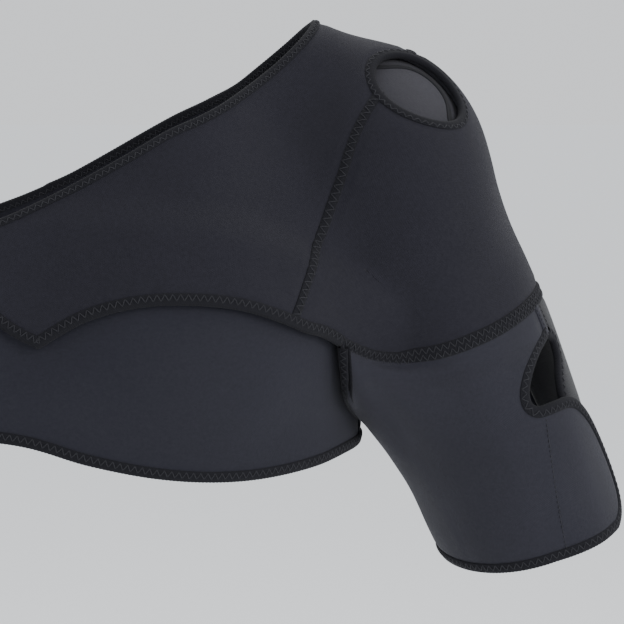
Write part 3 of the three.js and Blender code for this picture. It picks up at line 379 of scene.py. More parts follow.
class Wire:
    """One output of a shader node. Sums, products and the like of values add Math nodes."""

    def __init__(self, tree, socket=None):
        self.tree, self.socket = tree, socket

    def node(self, kind, settings=None, sockets=None, out=0):
        """Adds a node: its settings first (stops for a ramp), then a value or link for each socket."""
        made = self.tree.nodes.new(kind)
        for name, value in (settings or {}).items():
            if name == "stops":
                for k, (place, shade) in enumerate(value):
                    stop = made.color_ramp.elements[k] if k < 2 else made.color_ramp.elements.new(place)
                    stop.position = place
                    stop.color = (*shade, 1) if isinstance(shade, tuple) else (shade, shade, shade, 1)
            else:
                setattr(made, name, value)
        for name, value in (sockets or {}).items():
            if isinstance(value, Wire):
                self.tree.links.new(value.socket, made.inputs[name])
            else:
                made.inputs[name].default_value = value
        return Wire(self.tree, made.outputs[out] if len(made.outputs) else None)

    def math(self, operation, a, b=0.0):
        return self.node("ShaderNodeMath", {"operation": operation}, {0: a, 1: b})

    def __add__(self, other):
        return self.math("ADD", self, other)

    def __mul__(self, other):
        return self.math("MULTIPLY", self, other)

    def __sub__(self, other):
        return self.math("SUBTRACT", self, other)

    __radd__, __rmul__ = __add__, __mul__

    def noise(self, place, scale, detail, **more):
        """A noise texture at a place."""
        sockets = {"Vector": place, "Scale": scale, "Detail": detail, **more}
        return self.node("ShaderNodeTexNoise", {}, sockets)

    def mix(self, share, deep, pale):
        """A colour between two, by a share."""
        sockets = {0: share, 6: (*deep, 1), 7: (*pale, 1)}
        return self.node("ShaderNodeMix", {"data_type": "RGBA"}, sockets, out=2)

    def bump(self, height, strength):
        """A bump a fifth of a millimetre deep."""
        return self.node("ShaderNodeBump", {}, {"Height": height, "Strength": strength, "Distance": 0.0002})


def bare_material(name):
    """A material without nodes, the maker of its nodes and the place on the object."""
    material = bpy.data.materials.new(name)
    material.use_nodes = True
    material.node_tree.nodes.clear()
    new = Wire(material.node_tree)
    return material, new, new.node("ShaderNodeTexCoord", out="Object")


def cloth_material(name, deep, pale, rough, sheen, rib):
    """Jersey on foam: two close shades in slow patches, knitted ribs and loops in the bump, a soft sheen.
    rib is the width of a knitted rib in metres; the loops along it are as long as it is wide."""
    material, new, place = bare_material(name)
    patch = new.noise(place, 14.0, 3.0, Roughness=0.55)
    fleck = new.noise(place, 900.0, 2.0)
    across = new.node("ShaderNodeUVMap", {"uv_map": "cloth"})
    split = new.node("ShaderNodeSeparateXYZ", {}, {0: across})
    up = Wire(new.tree, split.socket.node.outputs["Y"])
    turn = 2 * np.pi / rib
    ribs = new.math("SINE", split * turn) * 0.5 + 0.5
    loops = new.math("SINE", up * turn + new.math("SINE", split * turn) * 1.2) * 0.5 + 0.5
    knit = ribs * 0.6 + loops * 0.4 + fleck * 0.5
    grain = new.noise(place, 620.0, 4.0, Roughness=0.7)
    mixed = patch * 0.8 + grain * 1.6 + ribs * 0.12 - 0.76
    shade = new.mix(mixed, deep, pale)
    bump = new.bump(knit + grain, 0.6)
    gloss = patch * -0.08 + fleck * 0.06 + rough
    skin = new.node("ShaderNodeBsdfPrincipled", {}, {
        "Base Color": shade, "Roughness": gloss, "Normal": bump, "Sheen Weight": sheen,
        "Sheen Roughness": 0.45, "Specular IOR Level": 0.1,
    })
    new.node("ShaderNodeOutputMaterial", {}, {"Surface": skin})
    return material


shoulder_cloth = cloth_material(
    "shoulder_jersey", (0.0121, 0.0118, 0.0165), (0.0197, 0.0193, 0.0261), 0.8, 0.05, 0.0008
)


def dress(piece, material, slot, *nodes):
    """Gives a piece its material, rides it on the brace and hides the solids it stands for. slot is not used.
    """
    piece.data.materials.append(material)
    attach(piece, "root")
    if nodes:
        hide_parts(*nodes)
    return piece


dress(cloth_solid("yoke_cloth", yoke_grid, yoke_facings), shoulder_cloth, "shoulder_cloth", "yoke")

# The sleeve: the same padded cloth round the upper arm, cut to a flap that laps over the outside of the
# arm under a small opening. Its top edge is sewn to the shoulder, and hangs free under the arm.
SLEEVE_END, SLEEVE_SLANT, CARRY_LENGTH, SLEEVE_GAP = 182.0, 10.0, 60.0, 1.0
JOIN_TURNS = (127, 232)
SLEEVE_ROWS = np.array([
    [0, 1.31, 0.05, -0.57], [22, 1.295, -0.13, -0.58], [45, 1.24, -0.29, -0.613], [66, 1.165, -0.4, -0.65],
    [84, 1.06, -0.46, -0.687], [97, 0.995, -0.47, -0.7], [108, 0.93, -0.49, -0.71], [118, 0.866, -0.59, -0.7],
    [127, 0.815, -0.745, -0.668], [135, 0.83, -0.57, -0.765], [143, 0.845, -0.42, -0.8],
    [155, 0.87, -0.23, -0.85], [175, 0.91, 0.05, -0.89], [200, 0.89, 0.33, -0.87], [213, 0.86, 0.5, -0.82],
    [223, 0.835, 0.64, -0.77], [232, 0.815, 0.8, -0.67], [242, 0.87, 0.68, -0.7], [253, 0.94, 0.62, -0.71],
    [264, 1, 0.61, -0.7], [278, 1.08, 0.58, -0.687], [296, 1.17, 0.5, -0.655], [316, 1.24, 0.4, -0.62],
    [338, 1.29, 0.24, -0.585], [360, 1.31, 0.05, -0.57],
])
FULL_TURN = np.array([360, 0, 0, 0])
ring_rows = np.concatenate([SLEEVE_ROWS[-2:-1] - FULL_TURN, SLEEVE_ROWS, SLEEVE_ROWS[1:2] + FULL_TURN])
SLEEVE_TOP = table_line(ring_rows, 16, (9, 17))


def sleeve_top(turn):
    """The sleeve's top edge before it is laid on the wearer, at a turn about the arm."""
    held = np.mod(turn, 360)
    return rows_at(held, SLEEVE_TOP[:, 0], SLEEVE_TOP[:, 1:]) * FORM_UNITS


def arm_layer(p):
    """Zero on the middle of the cloth that lies on the arm."""
    return arm(p) - BASE_LEVEL


def flap_layer(p):
    """The arm's layer, lifted over the strip on the outside of the arm."""
    offset = p - ARM_START
    turn = np.degrees(np.arctan2(offset @ ARM_FORWARD, offset @ ARM_OUTWARD))
    lift = OVER_LIFT * (1 - ramp(46, 80, turn)) * ramp(-50, -20, turn) * ramp(83, 111, along_arm(p))
    return arm_layer(p) - lift


def arm_seed(turn, distance):
    """Over the arm: down its line by the distance, and out by the cone's radius at the turn."""
    radius = ARM_RADIUS + (CUFF_RADIUS - ARM_RADIUS) * distance / CUFF_DISTANCE + BASE_LEVEL
    a = np.radians(turn)[..., None]
    side = ARM_OUTWARD * np.cos(a) + ARM_FORWARD * np.sin(a)
    return ARM_START + ARM_LINE * distance[..., None] + side * radius[..., None]


JOINS = np.array(JOIN_TURNS, float)
JOIN_OFFSETS = settle(outer_layer, sleeve_top(JOINS)) - settle(arm_layer, sleeve_top(JOINS))


def seam_point(turn):
    """The sleeve's top edge: on the shoulder's layer where sewn, and on the arm's where free, off it at
    both joins by as much as the shoulder's layer is, which fades over 50 degrees."""
    held = np.mod(turn, 360)
    seed = sleeve_top(turn)
    near, far = 1 - ramp(JOINS[0], JOINS[0] + 50, held), ramp(JOINS[1] - 50, JOINS[1], held)
    hanging = settle(arm_layer, seed) + JOIN_OFFSETS[0] * near[..., None] + JOIN_OFFSETS[1] * far[..., None]
    is_free = ((held > JOINS[0]) & (held < JOINS[1]))[..., None]
    return np.where(is_free, hanging, settle(outer_layer, seed)) + ARM_LINE * SLEEVE_GAP


def sleeve_point(layer, turn, distance):
    """On the arm's layer, carried off it by as much as the top edge is, fading over the carry length."""
    top = seam_point(turn)
    start = along_arm(top)
    carried = top - settle(layer, arm_seed(turn, start))
    fade = 1 - ramp(start, start + CARRY_LENGTH, distance)
    return settle(layer, arm_seed(turn, distance)) + carried * fade[..., None]


TURN_LENGTH = ARM_RADIUS * np.pi / 180


def sleeve_hem(turn):
    """Distance of the hem down the arm: slanting round it, and less steep on the outside."""
    across = np.cos(np.radians(turn))
    return SLEEVE_END + SLEEVE_SLANT * (across - 0.6 * ((1 + across) / 2) ** 2)


def arm_opening(angle, share):
    """A row of a near end on the rim of the arm opening, a leaning oval 31 by 25 mm, at an angle."""
    a = np.radians(angle)
    turn = 42 + (15.5 + EDGE_CUT) * np.cos(a) / TURN_LENGTH + 9 * np.sin(a)
    return [turn, (96.5 + (12.5 + EDGE_CUT) * np.sin(a)) / SLEEVE_END, share]


# Near ends of the sleeve and the strip: turn, distance as a share of SLEEVE_END, share of the height
SLEEVE_NEAR = table_line([
    [32.5, 0.36, 0], [32.5, 0.41, 0.05], arm_opening(-95, 0.09), arm_opening(-58, 0.13),
    arm_opening(-26, 0.18), arm_opening(4, 0.25), arm_opening(32, 0.34), arm_opening(60, 0.43),
    arm_opening(90, 0.52), [43, 0.617, 0.57], [34, 0.645, 0.61], [25, 0.7, 0.66],
    [18.5, 0.765, 0.71], [14.5, 0.83, 0.76], [12.5, 0.89, 0.81],
    [13.5, 0.94, 0.86], [18, 0.977, 0.905], [26, 1.002, 0.95], [36, 1.0175, 1],
], 6, (2,))
STRIP_NEAR = table_line([
    [31.5, 0.36, 0], [31, 0.41, 0.06], arm_opening(-104, 0.13), arm_opening(-145, 0.22),
    arm_opening(-180, 0.32), arm_opening(-215, 0.42), [38, 0.64, 0.5], [40, 0.72, 0.6], [40, 0.82, 0.75],
    [40, 0.92, 0.9], [40, 1, 1],
], 6, (2,))
FRONT_COLUMN, BACK_COLUMN = 74.0, 298.0


def arm_grid(layer, near_end, column, turns, near_steps, hem_cut):
    """Lines straight in turn and distance from a near end to a column, then down the arm at each turn."""
    near_end = end_rows(near_end, 6)
    share = near_end[:, 2:]
    close = np.array([0, 0.4, 1.1, 2.2, 4, 6]) / 60
    step = np.concatenate([close, np.linspace(0.1, 1, near_steps)[1:-1]])[None]
    turn = near_end[:, :1] * (1 - step) + column * step
    hem = sleeve_hem(turn) - hem_cut(turn)
    meet_top = along_arm(seam_point(np.array([column])))
    meet = meet_top + share * (sleeve_hem(column) - hem_cut(column) - meet_top)
    distance = near_end[:, 1:2] * SLEEVE_END * (1 - step) + meet * step
    top = along_arm(seam_point(turn[:1]))
    low = ramp(0.05, 0, share)
    distance = distance * (1 - low) + top * low
    distance = distance + (hem[-1:] - distance[-1:]) * ramp(0.75, 1, share)
    turns = np.concatenate([[column], turns])[None]
    top = along_arm(seam_point(turns))
    round_hem = sleeve_hem(turns) - hem_cut(turns)
    turn = np.concatenate([turn, np.repeat(turns, len(share), 0)], 1)
    distance = np.concatenate([distance, top + share * (round_hem - top)], 1)
    return sleeve_point(layer, turn, distance)


def arm_facings(grid):
    """Normals of a grid round the arm, away from the arm's line."""
    return grid_facings(grid, grid - ARM_START - along_arm(grid)[..., None] * ARM_LINE)


def relax(grid, share, rounds):
    """Moves points by a share of the way to the mean of their four neighbours, some rounds over."""
    for _ in range(rounds):
        mean = (grid[:-2, 1:-1] + grid[2:, 1:-1] + grid[1:-1, :-2] + grid[1:-1, 2:]) / 4
        grid[1:-1, 1:-1] += (mean - grid[1:-1, 1:-1]) * share[1:-1, 1:-1, None]
    return grid


sleeve_turns = np.unique(np.concatenate([
    np.arange(FRONT_COLUMN + 2, BACK_COLUMN - 1, 2), BACK_COLUMN - np.array([0.6, 0]),
    JOINS[0] + np.array([-0.4, 0, 0.3, 0.7, 1.7, 2.4]), JOINS[1] - np.array([-0.4, 0, 0.3, 0.7, 1.3, 2.6]),
]))
sleeve_grid = arm_grid(flap_layer, SLEEVE_NEAR, FRONT_COLUMN, sleeve_turns, 22, lambda turn: turn * 0)
column_turns = np.concatenate([np.full(sleeve_grid.shape[1] - len(sleeve_turns), FRONT_COLUMN), sleeve_turns])
under_arm = ramp(80, 98, column_turns) * ramp(288, 266, column_turns)
loose = under_arm * ramp(3, 12, rim_distance(sleeve_grid)) * ramp(170, 130, along_arm(sleeve_grid))
sleeve_grid = relax(sleeve_grid, loose, 90)
sleeve_facings = arm_facings(sleeve_grid)
sleeve_grid = soft_relief(sleeve_grid, sleeve_facings, 0.3)
# The sleeve is the shoulder's cloth, but its colours are painted lighter: painted light for the light that
# falls on the arm.
sleeve_cloth = cloth_material(
    "sleeve_jersey_painted_lit", (0.0180, 0.0180, 0.0246), (0.0266, 0.0266, 0.0354), 0.72, 0.06, 0.0006
)
dress(cloth_solid("sleeve_cloth", sleeve_grid, sleeve_facings), sleeve_cloth, "sleeve_cloth", "arm_sleeve")

# The strip: brushed loop cloth at the outside of the arm, which the flap fastens to. It is sewn to the
# sleeve above the arm opening and down the back
strip_grid = arm_grid(
    arm_layer, STRIP_NEAR, BACK_COLUMN - 359.7, np.array([]), 40, lambda turn: 9 * ramp(9, 22, turn)
)
strip_facings = arm_facings(strip_grid)
loop_cloth = cloth_material(
    "loop_pile", (0.0110, 0.0110, 0.0136), (0.0195, 0.0195, 0.0229), 0.95, 0.16, 0.0011
)
dress(cloth_solid("loop_strip_cloth", strip_grid, strip_facings), loop_cloth, "loop_pile", "loop_strip")

# The shoulder panel: the same cloth as the yoke, cut to go over the round of the shoulder, and sewn to
# the yoke by its front and back edges and to the sleeve by its lower one
SEAM_GAP = 0.5


def along(line, shares):
    """Points at shares of a line's length."""
    run = np.concatenate([[0], length(np.diff(line[:, :3], axis=0)).cumsum()])
    return rows_at(np.asarray(shares) * run[-1], run, line)


def across_line(line, away, closed=False):
    """Unit vectors across a line in its surface, to the left of its run, longer at its corners."""
    step = unit(np.diff(line, axis=0, append=line[:1] if closed else line[-1:] + (line[-1:] - line[-2:-1])))
    back = np.roll(step, 1, axis=0)
    if not closed:
        back[0] = step[0]
    sides = unit(np.cross(away, step)), unit(np.cross(away, back))
    middle = unit(sides[0] + sides[1])
    return middle / np.clip((middle * sides[0]).sum(-1), 0.6, 1)[:, None]


def beside(line, shift):
    """A line on the shoulder's layer moved across itself."""
    return settle(outer_layer, line - across_line(line, unit(slope_of(outer_layer, line))) * shift)


front_seam = yoke_edge[FRONT_SEAM * YOKE_STEPS : RING_START * YOKE_STEPS + 1]
back_seam = yoke_edge[RING_END * YOKE_STEPS : BACK_SEAM * YOKE_STEPS + 1]
panel_front = beside(front_seam, SEAM_GAP)[::-1]
panel_back = beside(back_seam, SEAM_GAP)
front_foot = settle(outer_layer, np.array([[0.735, -0.9, -0.622], [0.775, -0.83, -0.638]]) * FORM_UNITS)
back_foot = settle(outer_layer, np.array([[0.775, 0.82, -0.638], [0.74, 0.85, -0.62]]) * FORM_UNITS)
shoulder_turns = np.linspace(JOIN_TURNS[0], JOIN_TURNS[1] - 360, 140)
shoulder_seam = settle(outer_layer, sleeve_top(shoulder_turns))
front_foot_line = table_line([panel_front[-1], *front_foot, shoulder_seam[0]], 6)
back_foot_line = table_line([shoulder_seam[-1], *back_foot, panel_back[-1]], 6)
panel_bottom = np.concatenate([front_foot_line[:-1], shoulder_seam, back_foot_line[1:]])
panel_top = opening_point(np.linspace(236.8, 483.2, 160))


def patch(top, bottom, front, back, u, v):
    """Four-sided patch: the mean of the two ways of ruling it, less the ruling of its corners."""
    top, bottom = along(top, u)[None], along(bottom, u)[None]
    front, back = along(front, v)[:, None], along(back, v)[:, None]
    u, v = u[None, :, None], v[:, None, None]
    upper, lower = (line[:, :1] * (1 - u) + line[:, -1:] * u for line in (top, bottom))
    corners = upper * (1 - v) + lower * v
    return top * (1 - v) + bottom * v + front * (1 - u) + back * u - corners


panel_u = close_to_ends([210.0], 130)[0]
panel_v = close_to_ends([115.0], 44)[0]
panel_grid = settle(outer_layer, patch(panel_top, panel_bottom, panel_front, panel_back, panel_u, panel_v))
panel_facings = grid_facings(panel_grid, slope_of(outer_layer, panel_grid))
panel_grid = soft_relief(panel_grid, panel_facings, 0.3)
panel = cloth_solid("shoulder_panel_cloth", panel_grid, panel_facings)
dress(panel, shoulder_cloth, "shoulder_cloth", "shoulder_panel")

# The band: two pieces sewn together at the side under the arm, one across the chest and round the other
# side, the other across the back, where the first laps over its end and fastens
SIDE_TURN, BAND_END, BACK_BAND_END, BAND_LIFT_TURN, BAND_ROUND = 0.225, -0.475, 0.605, -0.36, 20.0
GIRTH = np.pi * (CHEST_HALF[0] + CHEST_HALF[1])


def band_layer(p):
    """Zero on the middle of the cloth of the band against the trunk."""
    return trunk(p) - BASE_LEVEL


def lapped_layer(p):
    """The band's layer, lifted over the back piece beyond a turn."""
    turn = trunk_turn(p)
    turn = np.where(turn > 0.3, turn - 1, turn)
    return band_layer(p) - OVER_LIFT * (1 - ramp(BAND_LIFT_TURN - 0.035, BAND_LIFT_TURN, turn))


def band_grid(layer, turns, rounded):
    """Lines from the top edge to the hem at each turn, shorter near a rounded end by a quarter circle."""
    left = np.clip(np.abs(BAND_END - turns) * GIRTH / BAND_ROUND, 0, 1) if rounded else np.ones_like(turns)
    inset = BAND_ROUND * (1 - np.sqrt(1 - (1 - left) ** 2))
    top, hem = band_height(turns, 1) - inset, band_height(turns, 2) + inset
    share = close_to_ends(top - hem, 26)
    angle = (turns * 2 * np.pi)[:, None]
    height = top[:, None] + (hem - top)[:, None] * share
    x, y = 1.02 * CHEST_HALF[0] * np.sin(angle), -1.02 * CHEST_HALF[1] * np.cos(angle)
    return settle(layer, np.stack([x + 0 * share, y + 0 * share, height], -1))


round_end = BAND_END + BAND_ROUND / GIRTH * (1 - np.cos(np.linspace(np.pi / 2, 0, 22)))
chest_turns = np.concatenate([
    SIDE_TURN - np.array([0, 0.4, 1.1, 2.2, 4]) / GIRTH,
    np.linspace(SIDE_TURN - 0.01, round_end[0] + 0.004, 230), round_end,
])
back_turns = np.concatenate([
    SIDE_TURN + np.array([0.7, 1.1, 1.8, 2.9, 4.7]) / GIRTH,
    np.linspace(SIDE_TURN + 0.01, BACK_BAND_END - 0.006, 130),
    BACK_BAND_END - np.array([4, 2.2, 1.1, 0.4, 0]) / GIRTH,
])
chest_grid = band_grid(lapped_layer, chest_turns, True)
back_grid = band_grid(band_layer, back_turns, False)
chest_facings = grid_facings(chest_grid, chest_grid * [1, 1, 0])
back_facings = grid_facings(back_grid, back_grid * [1, 1, 0])
chest_grid = soft_relief(chest_grid, chest_facings, 0.4)
back_grid = soft_relief(back_grid, back_facings, 0.4)
# The band's colours are painted lighter than the shoulder's jersey: painted light for the light that falls on
# the band.
band_cloth = cloth_material(
    "band_jersey_painted_lit", (0.0150, 0.0151, 0.0212), (0.0224, 0.0226, 0.0306), 0.74, 0.06, 0.0006
)
dress(cloth_solid("chest_band_cloth", chest_grid, chest_facings), band_cloth, "wrap_cloth", "chest_wrap")
dress(cloth_solid("back_band_cloth", back_grid, back_facings), band_cloth, "wrap_cloth", "back_wrap")

# Bindings: knitted tape folded over each raw edge and sewn down with a zigzag stitch through all layers
TAPE_HALF, TAPE_IN, EDGE_TAPE, STITCH_PITCH, THREAD, PROBE = 1.75, 1.08, 4.2, 3.5, 0.23, 3.5


def nearest(cloud, points):
    """Index of the nearest point of a cloud to each point."""
    parts = np.array_split(points, len(points) // 60 + 1)
    return np.concatenate([((cloud[None] - part[:, None]) ** 2).sum(-1).argmin(-1) for part in parts])


def smooth(values, closed, width=9):
    """Running mean over some values of a row."""
    padded = np.pad(values, width, mode="wrap" if closed else "edge")
    return np.convolve(padded, np.ones(2 * width + 1) / (2 * width + 1), "valid")


def rim_run(grid, facings, *runs):
    """Points and facings along runs of rows and columns of a grid."""
    runs = [np.broadcast_arrays(np.asarray(rows), np.asarray(columns)) for rows, columns in runs]
    return tuple(np.concatenate([part[rows, columns] for rows, columns in runs]) for part in (grid, facings))


class Edge:
    """A rim or line of a sheet: its points, facings, inward vectors and how the sheet curves inwards."""

    def __init__(self, points, away, grid=None, facings=None, closed=False, spacing=0.6):
        total = length(np.diff(points, axis=0)).sum() + (length(points[0] - points[-1]) if closed else 0)
        joined = np.concatenate([points, away], 1)
        if closed:
            joined = np.concatenate([joined, joined[:1]])
        share = np.linspace(0, 1, int(total / spacing) + 1)
        joined = along(joined, share[:-1] if closed else share)
        self.closed, self.total = closed, total
        self.points, self.away = joined[:, :3], unit(joined[:, 3:6])
        self.inward = across_line(self.points, self.away, closed)
        self.curve = np.zeros(len(self.points))
        self.run = np.arange(len(self.points)) * (total / (len(self.points) - (0 if closed else 1)))
        if grid is not None:
            sheet, facing = grid.reshape(-1, 3), facings.reshape(-1, 3)
            found = [nearest(sheet, self.points + self.inward * way * PROBE) for way in (1, -1)]
            miss = [sheet[at] - self.points - self.inward * way * PROBE for at, way in zip(found, (1, -1))]
            side = 0 if length(miss[0]).sum() < length(miss[1]).sum() else 1
            self.inward = self.inward * (1, -1)[side]
            at, miss = found[side], miss[side]
            rise = (miss * facing[at]).sum(-1) / np.clip((self.away * facing[at]).sum(-1), 0.5, 1)
            self.curve = smooth(np.clip(rise / PROBE**2, -0.04, 0.04), closed)

    def at(self, u, w):
        """Points u inwards from the rim and w out of the sheet's middle surface."""
        u, w = np.asarray(u, float), np.asarray(w, float)
        lift = w + self.curve[:, None] * np.maximum(u, 0) ** 2
        aside, out = self.inward[:, None] * u[..., None], self.away[:, None] * lift[..., None]
        return self.points[:, None] + aside + out

    def swell(self, pitch):
        """A wave from 0 to 1 and back over each half pitch of the stitches."""
        return 0.5 - 0.5 * np.cos(4 * np.pi * self.run / pitch)


def tube(sections, closed):
    """Points and faces of rings joined one to the next, with end fans where the run isn't closed."""
    count, sides = sections.shape[:2]
    at = np.arange(count * sides).reshape(count, sides)
    near, far = (at, np.roll(at, -1, 0)) if closed else (at[:-1], at[1:])
    faces = np.stack([near, far, np.roll(far, -1, 1), np.roll(near, -1, 1)], -1).reshape(-1, 4)
    if not closed:
        half = sides // 2
        k = np.arange(half - 1)
        cap = np.stack([k, k + 1, sides - 2 - k, sides - 1 - k], 1)
        faces = np.concatenate([faces, cap, cap[:, ::-1] + (count - 1) * sides])
    points = sections.reshape(-1, 3)
    return points, turn_outside(faces, points)


def folded_tape(edge, width):
    """A folded tape: its section runs round the rim from one leg's end to the other's and back inside,
    and swells and narrows along the stitches by a tenth of a millimetre."""
    outer_u = np.array([width, width - 0.35, width * 0.55, 0.3, -0.8, -1.3, -1.45])
    outer_w = np.array([1.3, TAPE_HALF - 0.05, TAPE_HALF, TAPE_HALF, TAPE_HALF * 0.86, TAPE_HALF * 0.48, 0])
    inner_u = np.array([width, width * 0.55, 0.2, -0.55, -0.75])
    inner_w = np.array([TAPE_IN, TAPE_IN, TAPE_IN, TAPE_IN * 0.5, 0])
    u = np.concatenate([outer_u, outer_u[-2::-1], inner_u, inner_u[-2::-1]])
    w = np.concatenate([outer_w, -outer_w[-2::-1], -inner_w, inner_w[-2::-1]])
    swell = edge.swell(STITCH_PITCH)
    outside = np.concatenate([np.ones(2 * len(outer_u) - 1), np.zeros(2 * len(inner_u) - 1)])
    middle = np.exp(-(((u - width * 0.5) / (width * 0.35)) ** 2)) * outside
    w = w[None] + np.sign(w)[None] * middle[None] * 0.34 * (swell[:, None] - 0.5)
    u = u[None] - (u < -0.3)[None] * outside[None] * 0.24 * (swell[:, None] - 0.5)
    return tube(edge.at(u, w), edge.closed)


def thread_rings(path, aside, rise):
    """Six points round each point of a thread's path."""
    angle = np.arange(6)[:, None] * np.pi / 3
    return path[:, None] + THREAD * (aside[:, None] * np.cos(angle) + rise[:, None] * np.sin(angle))


def zigzag(edge, middle, half, height, start=0.0, end=0.0, pitch=STITCH_PITCH, face=1):
    """A zigzag thread: across the line in straight runs, arched between the needle holes, as a tube."""
    steps = 6
    count = int((edge.total - start - end) / (pitch / 2))
    phase = np.arange(count * steps + 1) / steps
    run = start + phase * (edge.total - start - end) / count
    frames = np.concatenate([edge.points, edge.inward, edge.away, edge.curve[:, None]], 1)
    if edge.closed:
        frames = np.concatenate([frames, frames[:1]])
    known = np.concatenate([edge.run, [edge.total]]) if edge.closed else edge.run
    frames = rows_at(run, known, frames)
    p, inward, away, curve = frames[:, :3], unit(frames[:, 3:6]), unit(frames[:, 6:9]), frames[:, 9]
    swing = np.abs(np.mod(phase, 2) - 1) * 2 - 1
    u = middle + half * swing
    arch = np.sin(np.pi * np.mod(phase, 1))
    w = height - 0.22 + 0.34 * arch**0.6
    path = p + inward * u[:, None] + away * (face * w + curve * np.maximum(u, 0) ** 2)[:, None]
    forward = unit(np.gradient(path, axis=0))
    aside = unit(np.cross(away, forward))
    return tube(thread_rings(path, aside, np.cross(forward, aside)), False)


def join_parts(*parts):
    """Several sets of points and faces as one."""
    shift = np.cumsum([0] + [len(points) for points, _ in parts[:-1]])
    moved = [faces + first for (_, faces), first in zip(parts, shift)]
    return np.concatenate([points for points, _ in parts]), np.concatenate(moved)


def knit_material(name, deep, pale, rough, scale):
    """Knitted tape and thread: close dark shades, and a fine cross rib in the bump at a scale per metre."""
    material, new, place = bare_material(name)
    wave = {"Vector": place, "Scale": scale, "Distortion": 3.0}
    rib = new.node("ShaderNodeTexWave", {"bands_direction": "DIAGONAL"}, wave)
    fuzz = new.noise(place, 1600.0, 3.0)
    tone = new.mix(fuzz * 0.6 + rib * 0.4, deep, pale)
    bump = new.bump(rib * 0.6 + fuzz * 0.4, 0.5)
    skin = new.node("ShaderNodeBsdfPrincipled", {}, {
        "Base Color": tone, "Roughness": fuzz * 0.1 + rough, "Normal": bump, "Sheen Weight": 0.03,
        "Specular IOR Level": 0.15,
    })
    new.node("ShaderNodeOutputMaterial", {}, {"Surface": skin})
    return material


tape_knit = knit_material("binding_knit", (0.0050, 0.0050, 0.0068), (0.0135, 0.0135, 0.0171), 0.85, 520.0)
thread_black = knit_material("black_thread", (0.0160, 0.0160, 0.0192), (0.0352, 0.0352, 0.0416), 0.6, 900.0)


def bind(name, edge, width, node, middle=0.5, half=0.36):
    """Adds an edge's folded tape and, on both faces, its zigzag stitches: their middle and half width
    are shares of the tape's width."""
    dress(add_mesh(name, *folded_tape(edge, width)), tape_knit, "binding", node)
    across = width * middle, width * half, TAPE_HALF + 0.08, 1.0, 1.0
    rows = [zigzag(edge, *across, face=face) for face in (1, -1)]
    dress(add_mesh(name + "_stitches", *join_parts(*rows)), thread_black, "binding")


def bind_rim(name, grid, facings, node, *runs, width=EDGE_TAPE, **stitches):
    """Binds runs of rows and columns of a grid."""
    bind(name, Edge(*rim_run(grid, facings, *runs), grid, facings), width, node, **stitches)


rows, columns = yoke_grid.shape[:2]
lines = np.arange(rows)
half_end = columns // 2
front_line = lines[lines <= FRONT_SEAM * YOKE_STEPS + 2]
back_line = lines[lines >= BACK_SEAM * YOKE_STEPS + 4]
bind_rim(
    "neck_tape", yoke_grid, yoke_facings, "neck_binding", (0, np.arange(half_end, 0, -1)), (lines, 0),
    (rows - 1, np.arange(1, half_end)), width=2.8, middle=0.45, half=0.38,
)


def lower_edge(name, end_row, line_numbers, foot, node):
    """The tape of a lower edge: half a tab's end, the yoke's outer edge and the panel's foot."""
    tab_end = (end_row, np.arange(half_end + 1, columns - 1))
    end = rim_run(yoke_grid, yoke_facings, tab_end, (line_numbers, columns - 1))
    points = np.concatenate([end[0], foot])
    away = np.concatenate([end[1], unit(slope_of(outer_layer, foot))])
    grid = np.concatenate([yoke_grid.reshape(-1, 3), panel_grid.reshape(-1, 3)])
    facings = np.concatenate([yoke_facings.reshape(-1, 3), panel_facings.reshape(-1, 3)])
    bind(name, Edge(points, away, grid, facings), EDGE_TAPE, node)


lower_edge("front_edge_tape", 0, front_line, front_foot_line[1:], "front_edge_binding")
lower_edge("back_edge_tape", rows - 1, back_line[::-1], back_foot_line[::-1][1:], "back_edge_binding")
ring_angles = np.arange(0, 360, 2)
ring_points = opening_point(ring_angles)
ring_away = unit(slope_of(outer_layer, ring_points))
around = np.stack([opening_point(ring_angles, EDGE_CUT + out) for out in (0, 1.5, 3, 4, 5, 6.5)], 1)
ring = Edge(ring_points, ring_away, around, slope_of(outer_layer, around), True)
bind("opening_ring_tape", ring, 3.6, "opening_ring", 0.66, 0.26)

sleeve_rows, sleeve_columns = sleeve_grid.shape[:2]
bind_rim(
    "sleeve_tape", sleeve_grid, sleeve_facings, "sleeve_binding", (np.arange(15, sleeve_rows), 0),
    (sleeve_rows - 1, np.arange(1, sleeve_columns)),
)
is_free = (sleeve_turns > JOIN_TURNS[0]) & (sleeve_turns < JOIN_TURNS[1])
free_columns = np.flatnonzero(is_free) + sleeve_columns - len(sleeve_turns)
bind_rim("underarm_tape", sleeve_grid, sleeve_facings, "underarm_binding", (0, free_columns))
strip_rows, strip_columns = strip_grid.shape[:2]
bind_rim("strip_opening_tape", strip_grid, strip_facings, "strip_opening_binding", (np.arange(14, 40), 0))
strip_hem = (strip_rows - 1, np.arange(9, strip_columns))
bind_rim("strip_hem_tape", strip_grid, strip_facings, "strip_hem_binding", strip_hem)
chest_columns = chest_grid.shape[1]
tab_line = int(np.argmax(chest_turns < -0.05))
last = len(chest_turns) - 1
bind_rim(
    "chest_band_tape", chest_grid, chest_facings, "chest_wrap_binding", (np.arange(last), chest_columns - 1),
    (last, np.arange(chest_columns - 1, 0, -1)), (np.arange(last, tab_line, -1), 0),
)
back_hem = (np.flatnonzero(back_turns < 0.51), back_grid.shape[1] - 1)
bind_rim("back_band_tape", back_grid, back_facings, "back_wrap_binding", back_hem)

# Seams: the panel and the yoke meet edge to edge under a zigzag, and a flat tape with two rows of zigzag
# covers the seam between shoulder and sleeve


